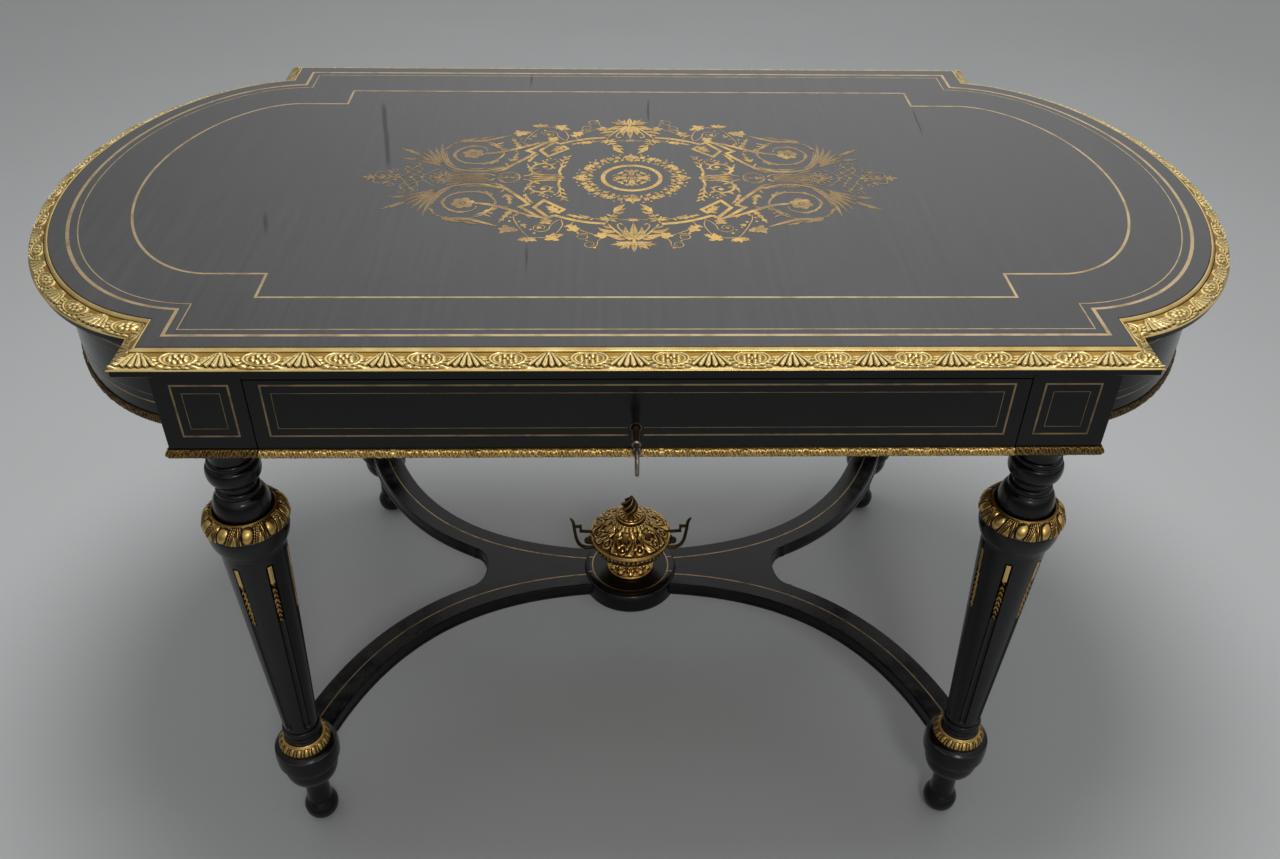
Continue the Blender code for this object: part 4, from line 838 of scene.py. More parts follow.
def quarterArabesque():
    work = Marquetry()

    # Leaves that climb from the wreath to the strap
    work.ribbon([(18.5, 85.5), (22, 94), (25.5, 102), (29, 111)], [0.9, 1.3, 1.3])
    work.leaves((19, 86.5, 7.5, 66, 6.4, 0.08), (20.5, 87.5, 20, 74, 4.4, -0.1),
                (20, 88.5, 9.5, 84, 4.6, -0.12), (15, 80.5, 8, 76, 3.4, -0.1), (22.5, 95, 16, 94, 3.0, -0.1),
                (22.5, 95, 28, 90, 3.0, 0.1), (25, 102, 15, 100, 3.6), (26, 103, 37, 97.5, 4.4),
                (27, 104.5, 38.5, 102.5, 3.4), (25, 104, 17.5, 108, 3.0), (27, 104, 30.5, 94.5, 3.2))
    work.ribbon([(5, 103.4), (15.5, 103.4)], 0.8)
    work.leaves((0.4, 103.4, 5.5, 106.2, 3.0), (0.4, 103.4, 5.5, 100.8, 2.4))

    # Arc strap, its inner line with leaves, the square knot and the stepped outer strap
    work.ribbon([(30, 112.8), (49, 109.6), (68.6, 102.2), (85, 93.2)], 4.6)
    work.ribbon([(37, 101.5), (48, 99.6), (58, 96.6), (70, 90.4)], 0.9)
    work.blade([(46, 98), (56, 98), (68, 93.5)], 6.4, 4)
    work.leaves((52, 97.6, 58, 91.5, 3.4), (43, 100.6, 46.5, 105, 2.6), (62, 95, 72, 92.4, 3.6))
    work.band([(85, 93.2), (90.5, 99), (107, 74.5), (97, 57.5), (74.5, 79.5), (80, 86.5), (91, 78.5)], 4.3)
    work.blade([(81, 82.5), (87, 77), (95.5, 71)], 6.4, 3)
    work.leaves((86, 77.5, 87.5, 69.5, 3.0), (83, 84, 91, 87, 3.0))
    work.band([(90, 103), (101, 97), (122.5, 73.5), (113.5, 67.5), (119, 57.5), (147, 20.5)], 4.5)

    # Inner scrolls beside the medallion
    work.ribbon([(123, 4.2), (115, 7.5), (113.5, 14), (117.5, 26), (120.5, 37)], [1.4, 2.0, 1.2])
    work.blade([(114, 15), (116.5, 24), (121, 38)], 5.4, 3, 0.3, 1.0)
    work.blade([(119, 42), (115, 54), (108, 66)], 5.4, 4, 0.6, 1.0)
    work.ribbon([(86, 7), (100, 7.5), (110.5, 11.5), (115, 20.5), (112.5, 31), (104.5, 37), (95.5, 35.5),
                 (91, 29), (94, 22.5), (100, 23.5)], [1.4, 2.6, 3.4, 3.0, 2.4, 2.0, 1.2])
    work.dot(99.5, 29, 3.2, 12)
    work.leaves((110, 13, 103, 18, 3.6), (114, 24, 107, 25, 3.4), (109, 34, 114, 43, 4.0),
                (101, 37, 102, 46, 3.6), (93, 34, 86.5, 40.5, 3.4), (92, 27, 86, 25, 3.0), bow=0.1)
    work.ribbon([(99, 36), (97, 43), (91, 46.5)], [1.0, 0.8])
    work.dots((86, 43.5, 1.6), (98, 47.5, 1.7), (103, 45, 1.4), (94, 51, 1.5), (89, 48.5, 1.2))
    work.blade([(81, 5), (82.5, 17), (80.5, 31), (84, 43)], 5.2, 4, 0.8, 0.5)
    work.ribbon([(80.5, 31), (79, 44), (75, 57)], [1.6, 0.8])
    work.leaves((80.5, 27, 75.5, 35.5, 3.0), (79.5, 38, 73, 44.5, 3.0), (79, 43, 84.5, 50.5, 2.8),
                (77.5, 48, 71.5, 53.5, 2.8), (76.5, 51, 80, 59.5, 3.0), (75.5, 55, 70, 60.5, 2.6), bow=0.08)
    work.ribbon([(82, 7.5), (92, 6.2), (104, 7.5), (114, 8.5)], [1.2, 1.6, 1.0])
    work.leaves((76, 0.9, 88, 3.2, 3.4, 0.06), (85, 1.0, 117, 2.6, 4.2, 0.03))

    # Palmette at the front and back of the field
    work.ribbon([(4.0, 149), (13, 138), (20.5, 126), (27, 113)], [1.6, 2.6, 2.4, 1.6])
    work.ribbon([(3.5, 147), (10, 135), (15.5, 123), (17, 116), (14, 112.4), (11.6, 115)],
                [1.0, 1.6, 1.4, 1.6])
    work.leaves((12, 141, 32.5, 133, 6.4, 0.12), (18.5, 131, 37.5, 122, 6.2, 0.14),
                (8, 146, 24.5, 142, 4.6, 0.1), (22, 122, 32, 116.5, 4.2, 0.1),
                (2.4, 153, 24, 159, 6.8, 0.04), (9, 154.5, 19, 151.5, 3.4, 0.1),
                (10, 157, 17.5, 163.5, 3.4, -0.1), (1.4, 153, 15, 169.5, 5.8, -0.04),
                (6, 159, 6.5, 168, 3.0, 0.0), (0.6, 146, 8.4, 118.5, 5.4, 0.1),
                (0.8, 147, 11.2, 126, 5.2, 0.14), (1.0, 148, 9.4, 135, 3.8, 0.14))

    # Ivy tendrils between palmette and volute
    work.ribbon([(34, 146), (37.5, 141), (43.5, 136), (54.5, 128.5), (63, 122.5), (65.5, 113), (63, 108)],
                [0.9, 1.0, 0.9])
    work.curl(52.6, 141.8, -130, 1.25, 7.4, 3.4, 1.0)
    work.curl(45.2, 158.4, 175, -1.2, 7.4, 3.2, 1.0)
    work.ribbon([(35, 147), (37.6, 152), (38, 158)], 0.9)
    work.ivies((36.5, 142.0, 235, 11.5), (31, 139.5, 80, 5.6), (64.5, 128.5, 255, 12.0), (66, 117, 25, 6.4))
    work.dots((40.5, 165.5, 1.6), (58.5, 133.5, 1.7), (49, 150.5, 1.4), (72, 119.5, 1.4))
    work.ribbon([(77, 103), (75, 114), (77.5, 126), (83, 139)], [1.0, 1.2, 0.9])
    work.ribbon([(84, 142), (95, 144), (109, 143.5)], 0.9)
    work.curl(98, 122, 195, -1.2, 10.0, 4.0, 1.0)
    work.ribbon([(88.4, 119.4), (84, 110), (78, 103)], 0.9)
    work.ivies((85, 149, 265, 14.0), (93.5, 112, 262, 12.0), (79, 139.5, 205, 6.0), (98.5, 120, 60, 5.0))
    work.ribbon([(109, 144), (115, 133), (120.5, 121), (127, 103), (128, 92)], [0.9, 1.2, 0.9])
    work.ivies((110, 144.5, 85, 9.0), (107.5, 147, 150, 7.6), (113.0, 146, 25, 7.6), (131.0, 120, 60, 15.0),
               (128, 126, 155, 7.5), (118.5, 116, 190, 5.6))
    work.dots((104, 133.5, 1.8), (108, 126, 1.5), (122.5, 126.5, 1.6), (114.5, 120.5, 1.5),
              (121.0, 108, 1.8), (131.5, 107, 1.6), (103.5, 148, 1.5), (131, 98, 1.4))

    # Main volute: stem, flower boss, inner ring and its leaves
    work.ribbon([(95, 101.5), (110, 94.5), (124, 86.5), (138, 77.5), (150, 70.5), (162, 66.6), (172, 65)],
                [0.9, 3.4, 5.0, 5.2, 4.6, 3.4])
    work.blade([(132, 83), (137, 96), (143, 112)], 6.4, 4)
    work.leaves((118, 90, 110, 100.5, 3.8, 0.12), (124, 86, 127, 96.5, 3.6, 0.1),
                (148, 72, 153.5, 83, 4.2, 0.12), (141, 75, 133, 70.5, 3.4, -0.1))
    bossX, bossY = 185, 64.5

    def around(radius, angle):
        return bossX + radius * math.cos(angle), bossY + radius * math.sin(angle)

    for i in range(6):
        turn = math.radians(60 * i + 15)
        gap = turn + math.radians(30)
        work.dot(*around(8.2, turn), 4.9, 14)
        work.leaf(around(3.4, turn), around(8.2, turn), 2.6)
        work.leaf(around(2.8, gap), around(10.4, gap), 1.8)
    work.dot(bossX, bossY, 2.5, 14)
    work.ribbon([(152, 71), (149.5, 64), (153, 53), (161.5, 42.5), (174, 37), (190, 38.5), (202, 48),
                 (206.5, 61.5), (202.5, 75), (193, 83.5), (181, 85.5), (171.5, 80), (169.5, 71)],
                [3.2, 2.4, 3.0, 2.4, 2.4, 1.4])
    work.blade([(155, 48), (163, 39), (177, 36)], 7.4, 4, 0.5, 1.0)
    work.blade([(188, 37), (197, 42), (203.5, 52)], 4.6, 3, 0.5, 1.0)
    work.blade([(206.5, 54), (207.5, 64), (203.5, 77)], 4.8, 3, 1.0, 0.5)
    work.blade([(200, 79), (191, 86), (181, 88)], 4.0, 3, 0.5, 1.0)

    # Outer scroll, thick along the axis and feathering into plumes
    work.ribbon([(138, 31.5), (150, 24.4), (164, 18.4), (181, 17), (198, 21.5), (210, 31), (217.5, 44)],
                [2.4, 3.2, 3.6, 3.6, 3.2, 2.0])
    work.leaves((146, 30, 172, 22.5, 3.6, -0.1), (168, 24, 194, 25.5, 3.6, -0.1),
                (142, 25, 162, 14.5, 3.4, -0.1), (190, 15, 212, 25, 3.4, -0.1),
                (200, 26, 213.5, 56, 3.8, -0.12), (206, 30, 217.5, 74, 4.0, -0.07),
                (210, 34, 224.5, 97, 4.8, -0.06), (215, 40, 232, 86, 4.0, -0.05),
                (217, 38, 240, 80, 4.8, -0.04), (219, 36, 247, 69.5, 4.4, 0.0),
                (219, 33, 251, 57.5, 4.2, 0.04), (217, 29, 250, 45.5, 3.8, 0.06),
                (246, 61, 273.5, 81, 5.4, 0.0), (249, 48.5, 268, 51, 4.2, 0.0),
                (257, 67, 262, 76.5, 3.2, 0.1), (221, 76, 215, 89, 3.6, 0.1))
    work.ribbon([(236, 50), (251, 62)], [1.0, 0.8], 2)
    work.ribbon([(232, 44), (248, 50.5)], [1.0, 0.8], 2)
    work.dots((213.5, 89, 1.5), (209, 94.5, 1.6), (203.5, 98.5, 1.4))
    work.ribbon([(218, 80), (211, 92), (199, 101)], 0.9)
    work.ribbon([(203, 100.5), (190, 101.5), (176, 102.5), (161, 109.5), (143, 119)],
                [2.0, 5.4, 5.8, 4.4, 1.0])
    work.leaves((204, 100, 190, 106.5, 4.4, -0.1), (196, 103, 180, 108.5, 4.2, -0.1),
                (203, 101, 194, 96.5, 3.4, 0.1), (182, 105, 162, 114.5, 4.0, -0.08))
    work.ribbon([(150, 67), (154, 80), (162.5, 93), (175, 100)], [1.6, 2.2, 1.4])
    work.blade([(155, 80), (162, 88), (171, 94.5)], 4.4, 3, 0.5, 1.0)
    work.leaves((160, 92, 151.5, 98.5, 3.2, 0.1), (157, 86, 150, 90.5, 2.6, 0.1))

    # Leaves on the outer strap
    work.blade([(138, 43), (135, 56), (133.5, 70)], 5.8, 4)
    work.leaves((138, 44, 130.5, 52, 2.8), (139, 42, 143.5, 52, 2.8), (138, 34, 131, 41.5, 3.0),
                (142, 30, 146, 40, 3.0))
    return work


def sideOrnament():  # the parts that straddle the long axis, drawn towards +X
    work = Marquetry()

    def beside(*points):  # points on the side that is being drawn
        return [(x, sign * y) for x, y in points]

    for i in range(24):  # beaded oval
        turn = 2 * math.pi * i / 24
        work.dot(139 + 12.0 * math.cos(turn), 13.5 * math.sin(turn), 1.25, 8)
        work.dot(139 + 9.2 * math.cos(turn + 0.13), 10.4 * math.sin(turn + 0.13), 0.7, 6)
    work.leaves((132, 0, 140, 0, 2.0), (140, 0, 151, 0, 2.6))
    work.ring(184, 0, 0.6, 1.4, 12)
    for sign in (-1, 1):
        work.leaf(*beside((140, 0), (143.5, 5.0)), 1.8)
        for wide in (1.7, 4.4, 7.2):  # reeded baluster
            reed = beside((162, wide * 0.62), (172, wide), (187, wide * 0.82), (205, wide * 1.12))
            work.ribbon(reed, [0.9, 1.4, 1.1, 1.4])
        work.ribbon(beside((158, 7.5), (168, 10.6), (186, 9.6), (207, 12.6)), [0.8, 1.5, 1.2])
        work.ribbon(beside((205, 1.0), (206, 9.5)), 1.3, 2)
        work.leaf(*beside((155, 2.5), (163, 8.5)), 3.0, sign * 0.15)
        for k, long in enumerate((16.0, 15.2, 13.4, 11.0)):  # lotus
            turn = math.radians(11 + 25 * k)
            aim = np.array([math.cos(turn), sign * math.sin(turn)])
            start = np.array([211.0, 0.0]) + 3.4 * aim
            work.leaf(start, start + (long - 3.4) * aim, 3.5)
            work.dot(*(start + (long - 2.6) * aim), 1.7, 8)
        work.ribbon(beside((208, 2.5), (208.5, 9), (211.5, 15), (218, 18.5)), [1.4, 1.2, 0.8])
        work.ribbon(beside((220.5, 23), (229, 14), (237, 4)), 1.1)

        # Bud finial
        bud = beside((265, 1.5), (270, 7), (279, 12.5), (288, 14.5), (291, 8), (289, 2))
        work.ribbon(bud, [1.2, 1.5, 1.3, 1.2])
        work.curl(270.5, sign * 19.5, 300 * sign, sign * -1.1, 4.6, 1.6, 1.2)
        work.leaf(*beside((272, 12), (280, 18)), 3.2, 0.1)
        for ends in (((272, 1.6), (279, 6.6)), ((279, 1.6), (286, 6.4)), ((267, 4), (264.5, 9.5))):
            work.leaf(*beside(*ends), 3.6, 0.1)
        work.leaf(*beside((295.5, 0.6), (297.5, 8.5)), 3.2)
        work.leaf(*beside((294, 0.6), (289.5, 5.5)), 2.4)
    work.ribbon([(206, 0), (212, 0)], [3.4, 2.0], 2)
    work.leaves((213, 0, 229, 0, 3.8), (264, 0, 278, 0, 3.4), (277, 0, 291, 0, 3.6))
    work.blade([(291, 0), (298, 0), (306, 0)], 6.2, 3)

    # Lattice whose two ranks of studs follow an arc
    near = [(237.0, 0.0), (241.8, 13.5), (246.5, 29.0)]
    far = [(249.5, 0.0), (255.0, 13.5), (257.5, 27.5)]
    for sign in (-1, 1):
        for i in range(2):
            for ends in ((near[i], far[i + 1]), (far[i], near[i + 1])):
                work.ribbon(beside(*ends), 1.0, 2)
        work.ribbon(beside((263, 0), (258, 5.5), (255, 13.5), (259, 20), (257.5, 27.5), (252, 33)),
                    [1.0, 1.0])
        work.ribbon(beside((237, 0), (236.5, 8), (241.8, 13.5), (239.5, 22), (246.5, 29)), 0.9)
        work.curl(240, sign * 32.5, -60 * sign, sign * 0.9, 3.6, 1.6, 1.0)
        work.curl(256, sign * 37.0, 200 * sign, sign * -1.0, 3.8, 1.6, 1.0)
        work.ribbon(beside((246.5, 29), (243.5, 34), (246, 40)), [1.0, 0.9])
        for stud in beside(*near[1:], *far[1:]):
            work.star(*stud, 2.4, 2.0)
    for stud in (near[0], far[0], (263.0, 0.0)):
        work.star(*stud, 3.2, 2.4)
    return work


def makeMarquetry():
    work = Marquetry()
    medallion(work)
    quarter = quarterArabesque()
    for signX in (-1, 1):
        work.take(sideOrnament(), signX, 1)
        for signY in (-1, 1):
            work.take(quarter, signX, signY)
    for sign in (-1, 1):
        work.leaf((0, sign * 147), (0, sign * 110.5), 8.0)
        work.leaf((0, sign * 151.5), (0, sign * 174), 6.6)
        work.ribbon([(0, sign * 146), (0, sign * 153)], [3.0, 3.4], 2)
        work.leaf((0, sign * 103), (0, sign * 108.5), 2.8)
        work.dot(0, sign * 103, 1.8)

    def place(points, z):
        return atHeight(points + (inlay["centreX"], inlay["centreY"]), z)

    addInlay("top_marquetry", work.shells(place, topZ - inlay["sunk"], topZ + inlay["proud"]), flowerBrass)


makeTopLines()
makeMarquetry()
print("brass inlay made")


# Frieze: curved ends, panel lines and the gilt strip below

frieze = {"x": 446.0, "y": 345.7, "low": 633.0, "high": 740.2, "inset": 2.0, "thick": 20.0, "soft": 0.8,
          "block": 363.0, "panelLow": 657.5, "panelHigh": 717.5, "outerLine": 1.8, "innerLine": 0.55,
          "innerGap": 9.5, "drawerPanel": 348.5, "blockPanel": (375.5, 429.5), "keyGap": (-11.5, 3.5),
          "lobeGap": 14.0, "clear": 0.3, "stripHigh": 10.0, "stripDeep": 5.0, "blockStripDeep": 3.6,
          "lobeStripDeep": 2.6, "blockStripRuns": (86.0, 48.0), "stripRepeat": 17.0, "stripSharp": 60,
          "stripDrift": 7.3, "stripLeaf": 4.4, "blockDirtAndShade": 0.16, "lobeDirtAndShade": 0.22}


def lobeTrack(off, startX):  # arc length from the middle against angle, along the right lobe
    end = float(lobeEnd(startX, off))
    angle = np.linspace(-end, end, 240)
    path = np.stack(lobePoint(angle, off), -1)
    arc = lengthsAlong(path)
    return angle, arc - arc[-1] / 2


def makeLobeAprons():
    f = frieze
    off, soft = -f["inset"], f["soft"]
    section = [(off - f["thick"], f["low"]), (off - soft, f["low"]), (off, f["low"] + soft),
               (off, f["high"] - soft), (off - soft, f["high"]), (off - f["thick"], f["high"])]
    loops = []
    for share in np.linspace(-1, 1, 73):
        row = []
        for o, z in section:
            x, y = lobePoint(share * lobeEnd(f["x"] + f["clear"], o), o)
            row.append((float(x), float(y), z))
        loops.append(row)
    addEach(sides, "lobe_panel_", "lobe_apron_", turnedShell(np.array(loops)), ebony, sharp=30)


def frameBars(lines, left, right, low, high, width, cut=None, steps=1):
    run = np.linspace(0, 1, steps + 1)
    for z, inner in ((low, low + width), (high, high - width)):
        whole = cut is None or z == high
        for start, end in [(left, right)] if whole else [(left, cut[0]), (cut[1], right)]:
            inStart = start + width if start == left else start
            inEnd = end - width if end == right else end
            outerX = start + (end - start) * run
            innerX = inStart + (inEnd - inStart) * run
            lines.strip(np.column_stack([outerX, 0 * run + z]), np.column_stack([innerX, 0 * run + inner]))
    for x, inner in ((left, left + width), (right, right - width)):
        lines.strip([(x, low), (x, high)], [(inner, low + width), (inner, high - width)])


def doubleFrame(lines, left, right, cut=None, steps=1):
    f = frieze
    for gap, width in ((0.0, f["outerLine"]), (f["innerGap"], f["innerLine"])):
        low, high = f["panelLow"] + gap, f["panelHigh"] - gap
        frameBars(lines, left + gap, right - gap, low, high, width, cut, steps)


def makePanelLines():
    f = frieze
    depth = (-inlay["sunk"], inlay["proud"])

    def flat(sign):
        def place(points, lift):
            return np.column_stack([points[:, 0], np.full(len(points), sign * (f["y"] + lift)), points[:, 1]])
        return place

    drawer = Marquetry()
    doubleFrame(drawer, -f["drawerPanel"], f["drawerPanel"], f["keyGap"])
    addInlay("drawer_lines", drawer.shells(flat(-1), *depth), panelBrass, "drawer")
    blocks = Marquetry()
    inner, outer = f["blockPanel"]
    doubleFrame(blocks, inner, outer)
    doubleFrame(blocks, -outer, -inner)
    addInlay("block_lines_front", blocks.shells(flat(-1), *depth), panelBrass)
    back = Marquetry()
    doubleFrame(back, -f["drawerPanel"], f["drawerPanel"])
    back.take(blocks, 1, 1)
    addInlay("back_lines", back.shells(flat(1), *depth), panelBrass)

    off = -f["inset"]
    angle, arc = lobeTrack(off, f["x"] + f["clear"])
    lobes = Marquetry()
    doubleFrame(lobes, arc[0] + f["lobeGap"], arc[-1] - f["lobeGap"], steps=90)
    for side, (sign, _) in sides.items():
        def place(points, lift):
            x, y = lobePoint(np.interp(points[:, 0], arc, angle), off + lift)
            return np.column_stack([sign * x, y, points[:, 1]])

        addInlay("lobe_lines_" + side, lobes.shells(place, *depth), panelBrass)


def stripGrid(length, place, deep):
    f = frieze
    turn = np.linspace(0, math.pi, 19)
    middle = f["low"] + f["stripHigh"] / 2
    section = np.column_stack([0.8 + (deep - 1.3) * np.sin(turn) ** 0.8,
                               middle - f["stripHigh"] / 2 * np.cos(turn) * 0.98])
    section = np.vstack([[(0.3, f["low"])], section, [(0.3, f["low"] + f["stripHigh"])]])
    t = np.linspace(0, 1, max(int(length / 0.6), 6))
    s = t[:, None] * length
    q = np.r_[0, np.linspace(-1, 1, 19), 0][None, :]

    # Small leaves crowded along a scrolling stem
    bend = np.sin(s * 2 * math.pi / f["stripRepeat"])
    drift = np.sin(s * 2 * math.pi / f["stripDrift"])
    leaves = np.cos(s * 2 * math.pi / f["stripLeaf"] + 1.3 * bend + 1.8 * drift)
    leaves = leaves * np.cos(math.pi * q * 1.6 + 1.4 * bend - drift)
    lift = 0.44 * leaves * (np.abs(q) < 0.85) + 0.42 * ridge(q - 0.5 * bend, 0.16)
    lift = lift + 0.3 * ridge(np.abs(q) - 0.93, 0.07) - 0.1
    lift[:, [0, -1]] = 0.0
    normal = outwards(section) * -1.0
    x, y = place(t[:, None], section[None, :, 0] + lift * normal[None, :, 0])
    z = section[None, :, 1] + lift * normal[None, :, 1]
    # Dirt and painted shade in the strip's hollows.
    return turnedShell(np.stack([x, y, z], -1)), np.ravel(0.1 + hollows(lift, 2, 1.0))


def makeStrips():
    f = frieze

    def straight(left, right, sign):
        def place(t, o):
            return left + (right - left) * t + 0 * o, sign * (f["y"] + o) + 0 * t
        return place

    for label, body, gap, sign in (("drawer", "drawer", 1.0, -1), ("back", "table", f["clear"], 1)):
        half = f["block"] - gap
        shell, cavity = stripGrid(2 * half, straight(-half, half, sign), f["stripDeep"])
        addPiece(label + "_strip", *shell, darkGilt, ["strip_" + label], body, f["stripSharp"], cavity)

    def blockFront(t, o):
        return f["block"] + (f["x"] + o - f["block"]) * t, f["y"] + o + 0 * t

    def blockSide(t, o):
        end = lobePoint(lobeEnd(f["x"] + f["stripDeep"], -f["inset"]), -f["inset"])[1] + f["stripDeep"] / 2
        return f["x"] + o + 0 * t, f["y"] + o + (end - f["y"] - o) * t

    places = zip(f["blockStripRuns"], (blockFront, blockSide))
    runs = [stripGrid(length, place, f["blockStripDeep"]) for length, place in places]
    shell = merged([shell for shell, _ in runs])
    # The block and lobe strips are darkened further all over: dirt and painted shade.
    cavity = np.concatenate([hollow for _, hollow in runs]) + f["blockDirtAndShade"]
    addEach(corners, "block_strip_", "strip_block_", shell, ringGilt, sharp=f["stripSharp"], cavity=cavity)

    start = f["x"] + f["stripDeep"] + f["clear"]
    arc = lobeTrack(0.0, start)[1]

    def lobe(t, o):
        off = o - f["inset"]
        return lobePoint((2 * t - 1) * lobeEnd(start, off), off)

    shell, cavity = stripGrid(2 * arc[-1], lobe, f["lobeStripDeep"])
    cavity = cavity + f["lobeDirtAndShade"]
    addEach(sides, "lobe_strip_", "strip_lobe_", shell, ringGilt, sharp=f["stripSharp"], cavity=cavity)


makeLobeAprons()
makePanelLines()
makeStrips()
print("frieze made")


# Turned legs with flutes, gilt rings, husks and feet

leg = {"x": 408.5, "y": 303.2, "flutes": 6, "turn": 9.0, "fluteHalf": 4.2, "fluteDeep": 0.8,
       "fluteTop": 474.7, "fluteLow": 190.0, "shaftTop": (34.8, 484.2), "shaftLow": (20.5, 184.0)}
eggs = {"count": 10, "steps": 320, "radius": 42.0, "lean": 0.18, "half": 5.9, "tall": 9.2, "at": 10.4,
        "lift": 2.3, "ribs": [(7.4, 0.12, 1.5), (9.6, 0.16, 1.3), (11.4, 0.2, 1.0)]}
tongues = {"count": 20, "steps": 240, "low": 150.8, "high": 161.6, "lean": 0.12}
husk = {"long": 94, "half": 3.5, "barHalf": 2.9, "barLong": 27.2, "barLift": 4.1, "stemLift": 3.9,
        "leaves": 8, "leafStart": 26.5, "leafStep": 7.9, "leafReach": 7.6, "leafLean": 22, "bed": 4.2,
        "under": 5.4}


def shaftRadius(z):
    (wide, high), (slim, low) = leg["shaftTop"], leg["shaftLow"]
    return slim + (wide - slim) * (z - low) / (high - low)


def legProfile():
    top, low = leg["fluteTop"], leg["fluteLow"]
    heights = np.r_[np.linspace(484.2, top + 1, 7), np.linspace(top, top - 5.5, 11),
                    np.linspace(top - 14, low + 14, 26), np.linspace(low + 5.5, low, 11), 187.0, 184.4]
    shaft = [(shaftRadius(z), z) for z in heights]
    return np.vstack([
        profileOf([(36.0, 632.7), (36.0, 626.4)], [(36.0, 626.4), (35.5, 624.6), (34.0, 623.9)],
                  [(27.0, 623.4), (23.8, 619.5), (22.0, 613.0), (21.6, 606.5), (21.6, 603.0)],
                  [(22.2, 602.6), (23.8, 601.0), (24.3, 598.4), (23.8, 596.2)],
                  [(24.2, 595.8), (26.6, 593.4), (27.7, 588.4), (27.4, 582.4), (25.2, 576.6), (21.0, 572.8)],
                  [(19.6, 572.2), (18.9, 568.8), (19.2, 565.6)],
                  [(20.2, 565.0), (22.2, 563.4), (22.8, 560.6), (22.2, 557.8)],
                  [(22.8, 557.2), (25.9, 554.0), (28.0, 549.0), (29.2, 543.0), (29.6, 537.0), (29.6, 530.0)],
                  [(29.6, 520.0), (30.0, 516.9)],
                  [(41.4, 516.7), (42.4, 515.2), (42.5, 510.0), (41.9, 504.0), (40.4, 497.0), (38.2, 491.4)],
                  [(36.8, 490.0), (36.2, 488.6), (36.0, 487.0), (35.2, 486.0)]),
        shaft,
        profileOf([(20.4, 183.6), (22.2, 182.8), (23.1, 179.6), (22.4, 176.0), (20.6, 174.4)],
                  [(20.2, 173.9), (19.6, 170.0), (20.4, 166.4)],
                  [(22.0, 165.8), (22.8, 163.6), (22.0, 150.2)])])


def legShell():
    profile = legProfile()
    inRange = np.clip(profile[:, 1], leg["fluteLow"], leg["fluteTop"])
    half = np.arcsin(leg["fluteHalf"] / shaftRadius(inRange))
    across = np.sin(np.linspace(-math.pi / 2, math.pi / 2, 13))
    sector = 2 * math.pi / leg["flutes"]
    columns = [half * a for a in across]
    columns += [half + (sector - 2 * half) * k / 6 for k in range(1, 6)]
    inFlute = np.r_[across, np.full(5, 2.0)]
    angle = np.concatenate([np.stack(columns, 1) + k * sector for k in range(leg["flutes"])], 1)
    lateral = np.tile(inFlute, leg["flutes"])[None, :] * leg["fluteHalf"]
    z = profile[:, 1:2]
    beyond = np.maximum(z - (leg["fluteTop"] - leg["fluteHalf"]), 0) + np.maximum(
        leg["fluteLow"] + leg["fluteHalf"] - z, 0)
    deep = np.sqrt(np.maximum(leg["fluteHalf"] ** 2 - lateral ** 2 - beyond ** 2, 0)) * leg["fluteDeep"]
    radius = profile[:, :1] - deep
    angle = angle + math.radians(leg["turn"])
    rows = np.stack([radius * np.cos(angle), radius * np.sin(angle), z + 0 * angle], -1)
    return turnedShell(rows), arrisWearAndHighlight(profile, angle.shape[1])


def collar(base, cushion, bead):  # section of a ring: a flat foot, a finely stepped cushion and a bead
    cushion = spline(spline(cushion, 5), 2)
    return np.vstack([base, cushion, profileOf(bead)]), len(base) + len(cushion) - 1


def eggRing():
    e = eggs
    run, rim = collar([(30.4, 517.3), (42.4, 517.3)],
                      [(43.2, 517.8), (43.8, 519.6), (43.2, 523.4), (41.0, 527.8), (37.6, 531.6),
                       (33.4, 534.2)],
                      [(32.9, 534.7), (32.3, 535.2), (31.5, 535.3), (30.7, 534.6)])
    length = lengthsAlong(run)
    w = (length[rim] - length)[:, None]
    period = 2 * math.pi * e["radius"] / e["count"]
    s = (fullTurn(e["steps"]) * e["radius"])[None, :] + e["lean"] * (w - 9.0)  # the ornament leans a little
    u = wrap(s, period)
    v = wrap(s - period / 2, period)
    egg = np.hypot(u / (e["half"] - 0.10 * (w - 10.0)), (w - e["at"]) / e["tall"])
    lift = e["lift"] * np.sqrt(np.maximum(1 - egg ** 2, 0))
    for off, draw, high in e["ribs"]:  # ribs closing in below each egg
        lift = np.maximum(lift, high * ridge(np.abs(u) - off + draw * (w - 9.0), 0.62))
    dart = smooth((0.24 * (w - 6.0) - np.abs(v)) / 0.6 + 0.3) * (w > 6.0)
    lift = np.maximum(lift, dart * 1.3)
    gate = smooth((w - 0.3) / 0.8) * smooth((20.6 - w) / 1.0)
    lift = lift * gate
    # Dirt and painted shade in the hollows, and more on the plain upper rim in the gap under the bell.
    cavity = 0.10 + hollows(lift, 2, 0.6) * gate + 0.25 * (w < 0.4)
    return loopedShell(reliefRows(run, lift)), np.ravel(cavity)


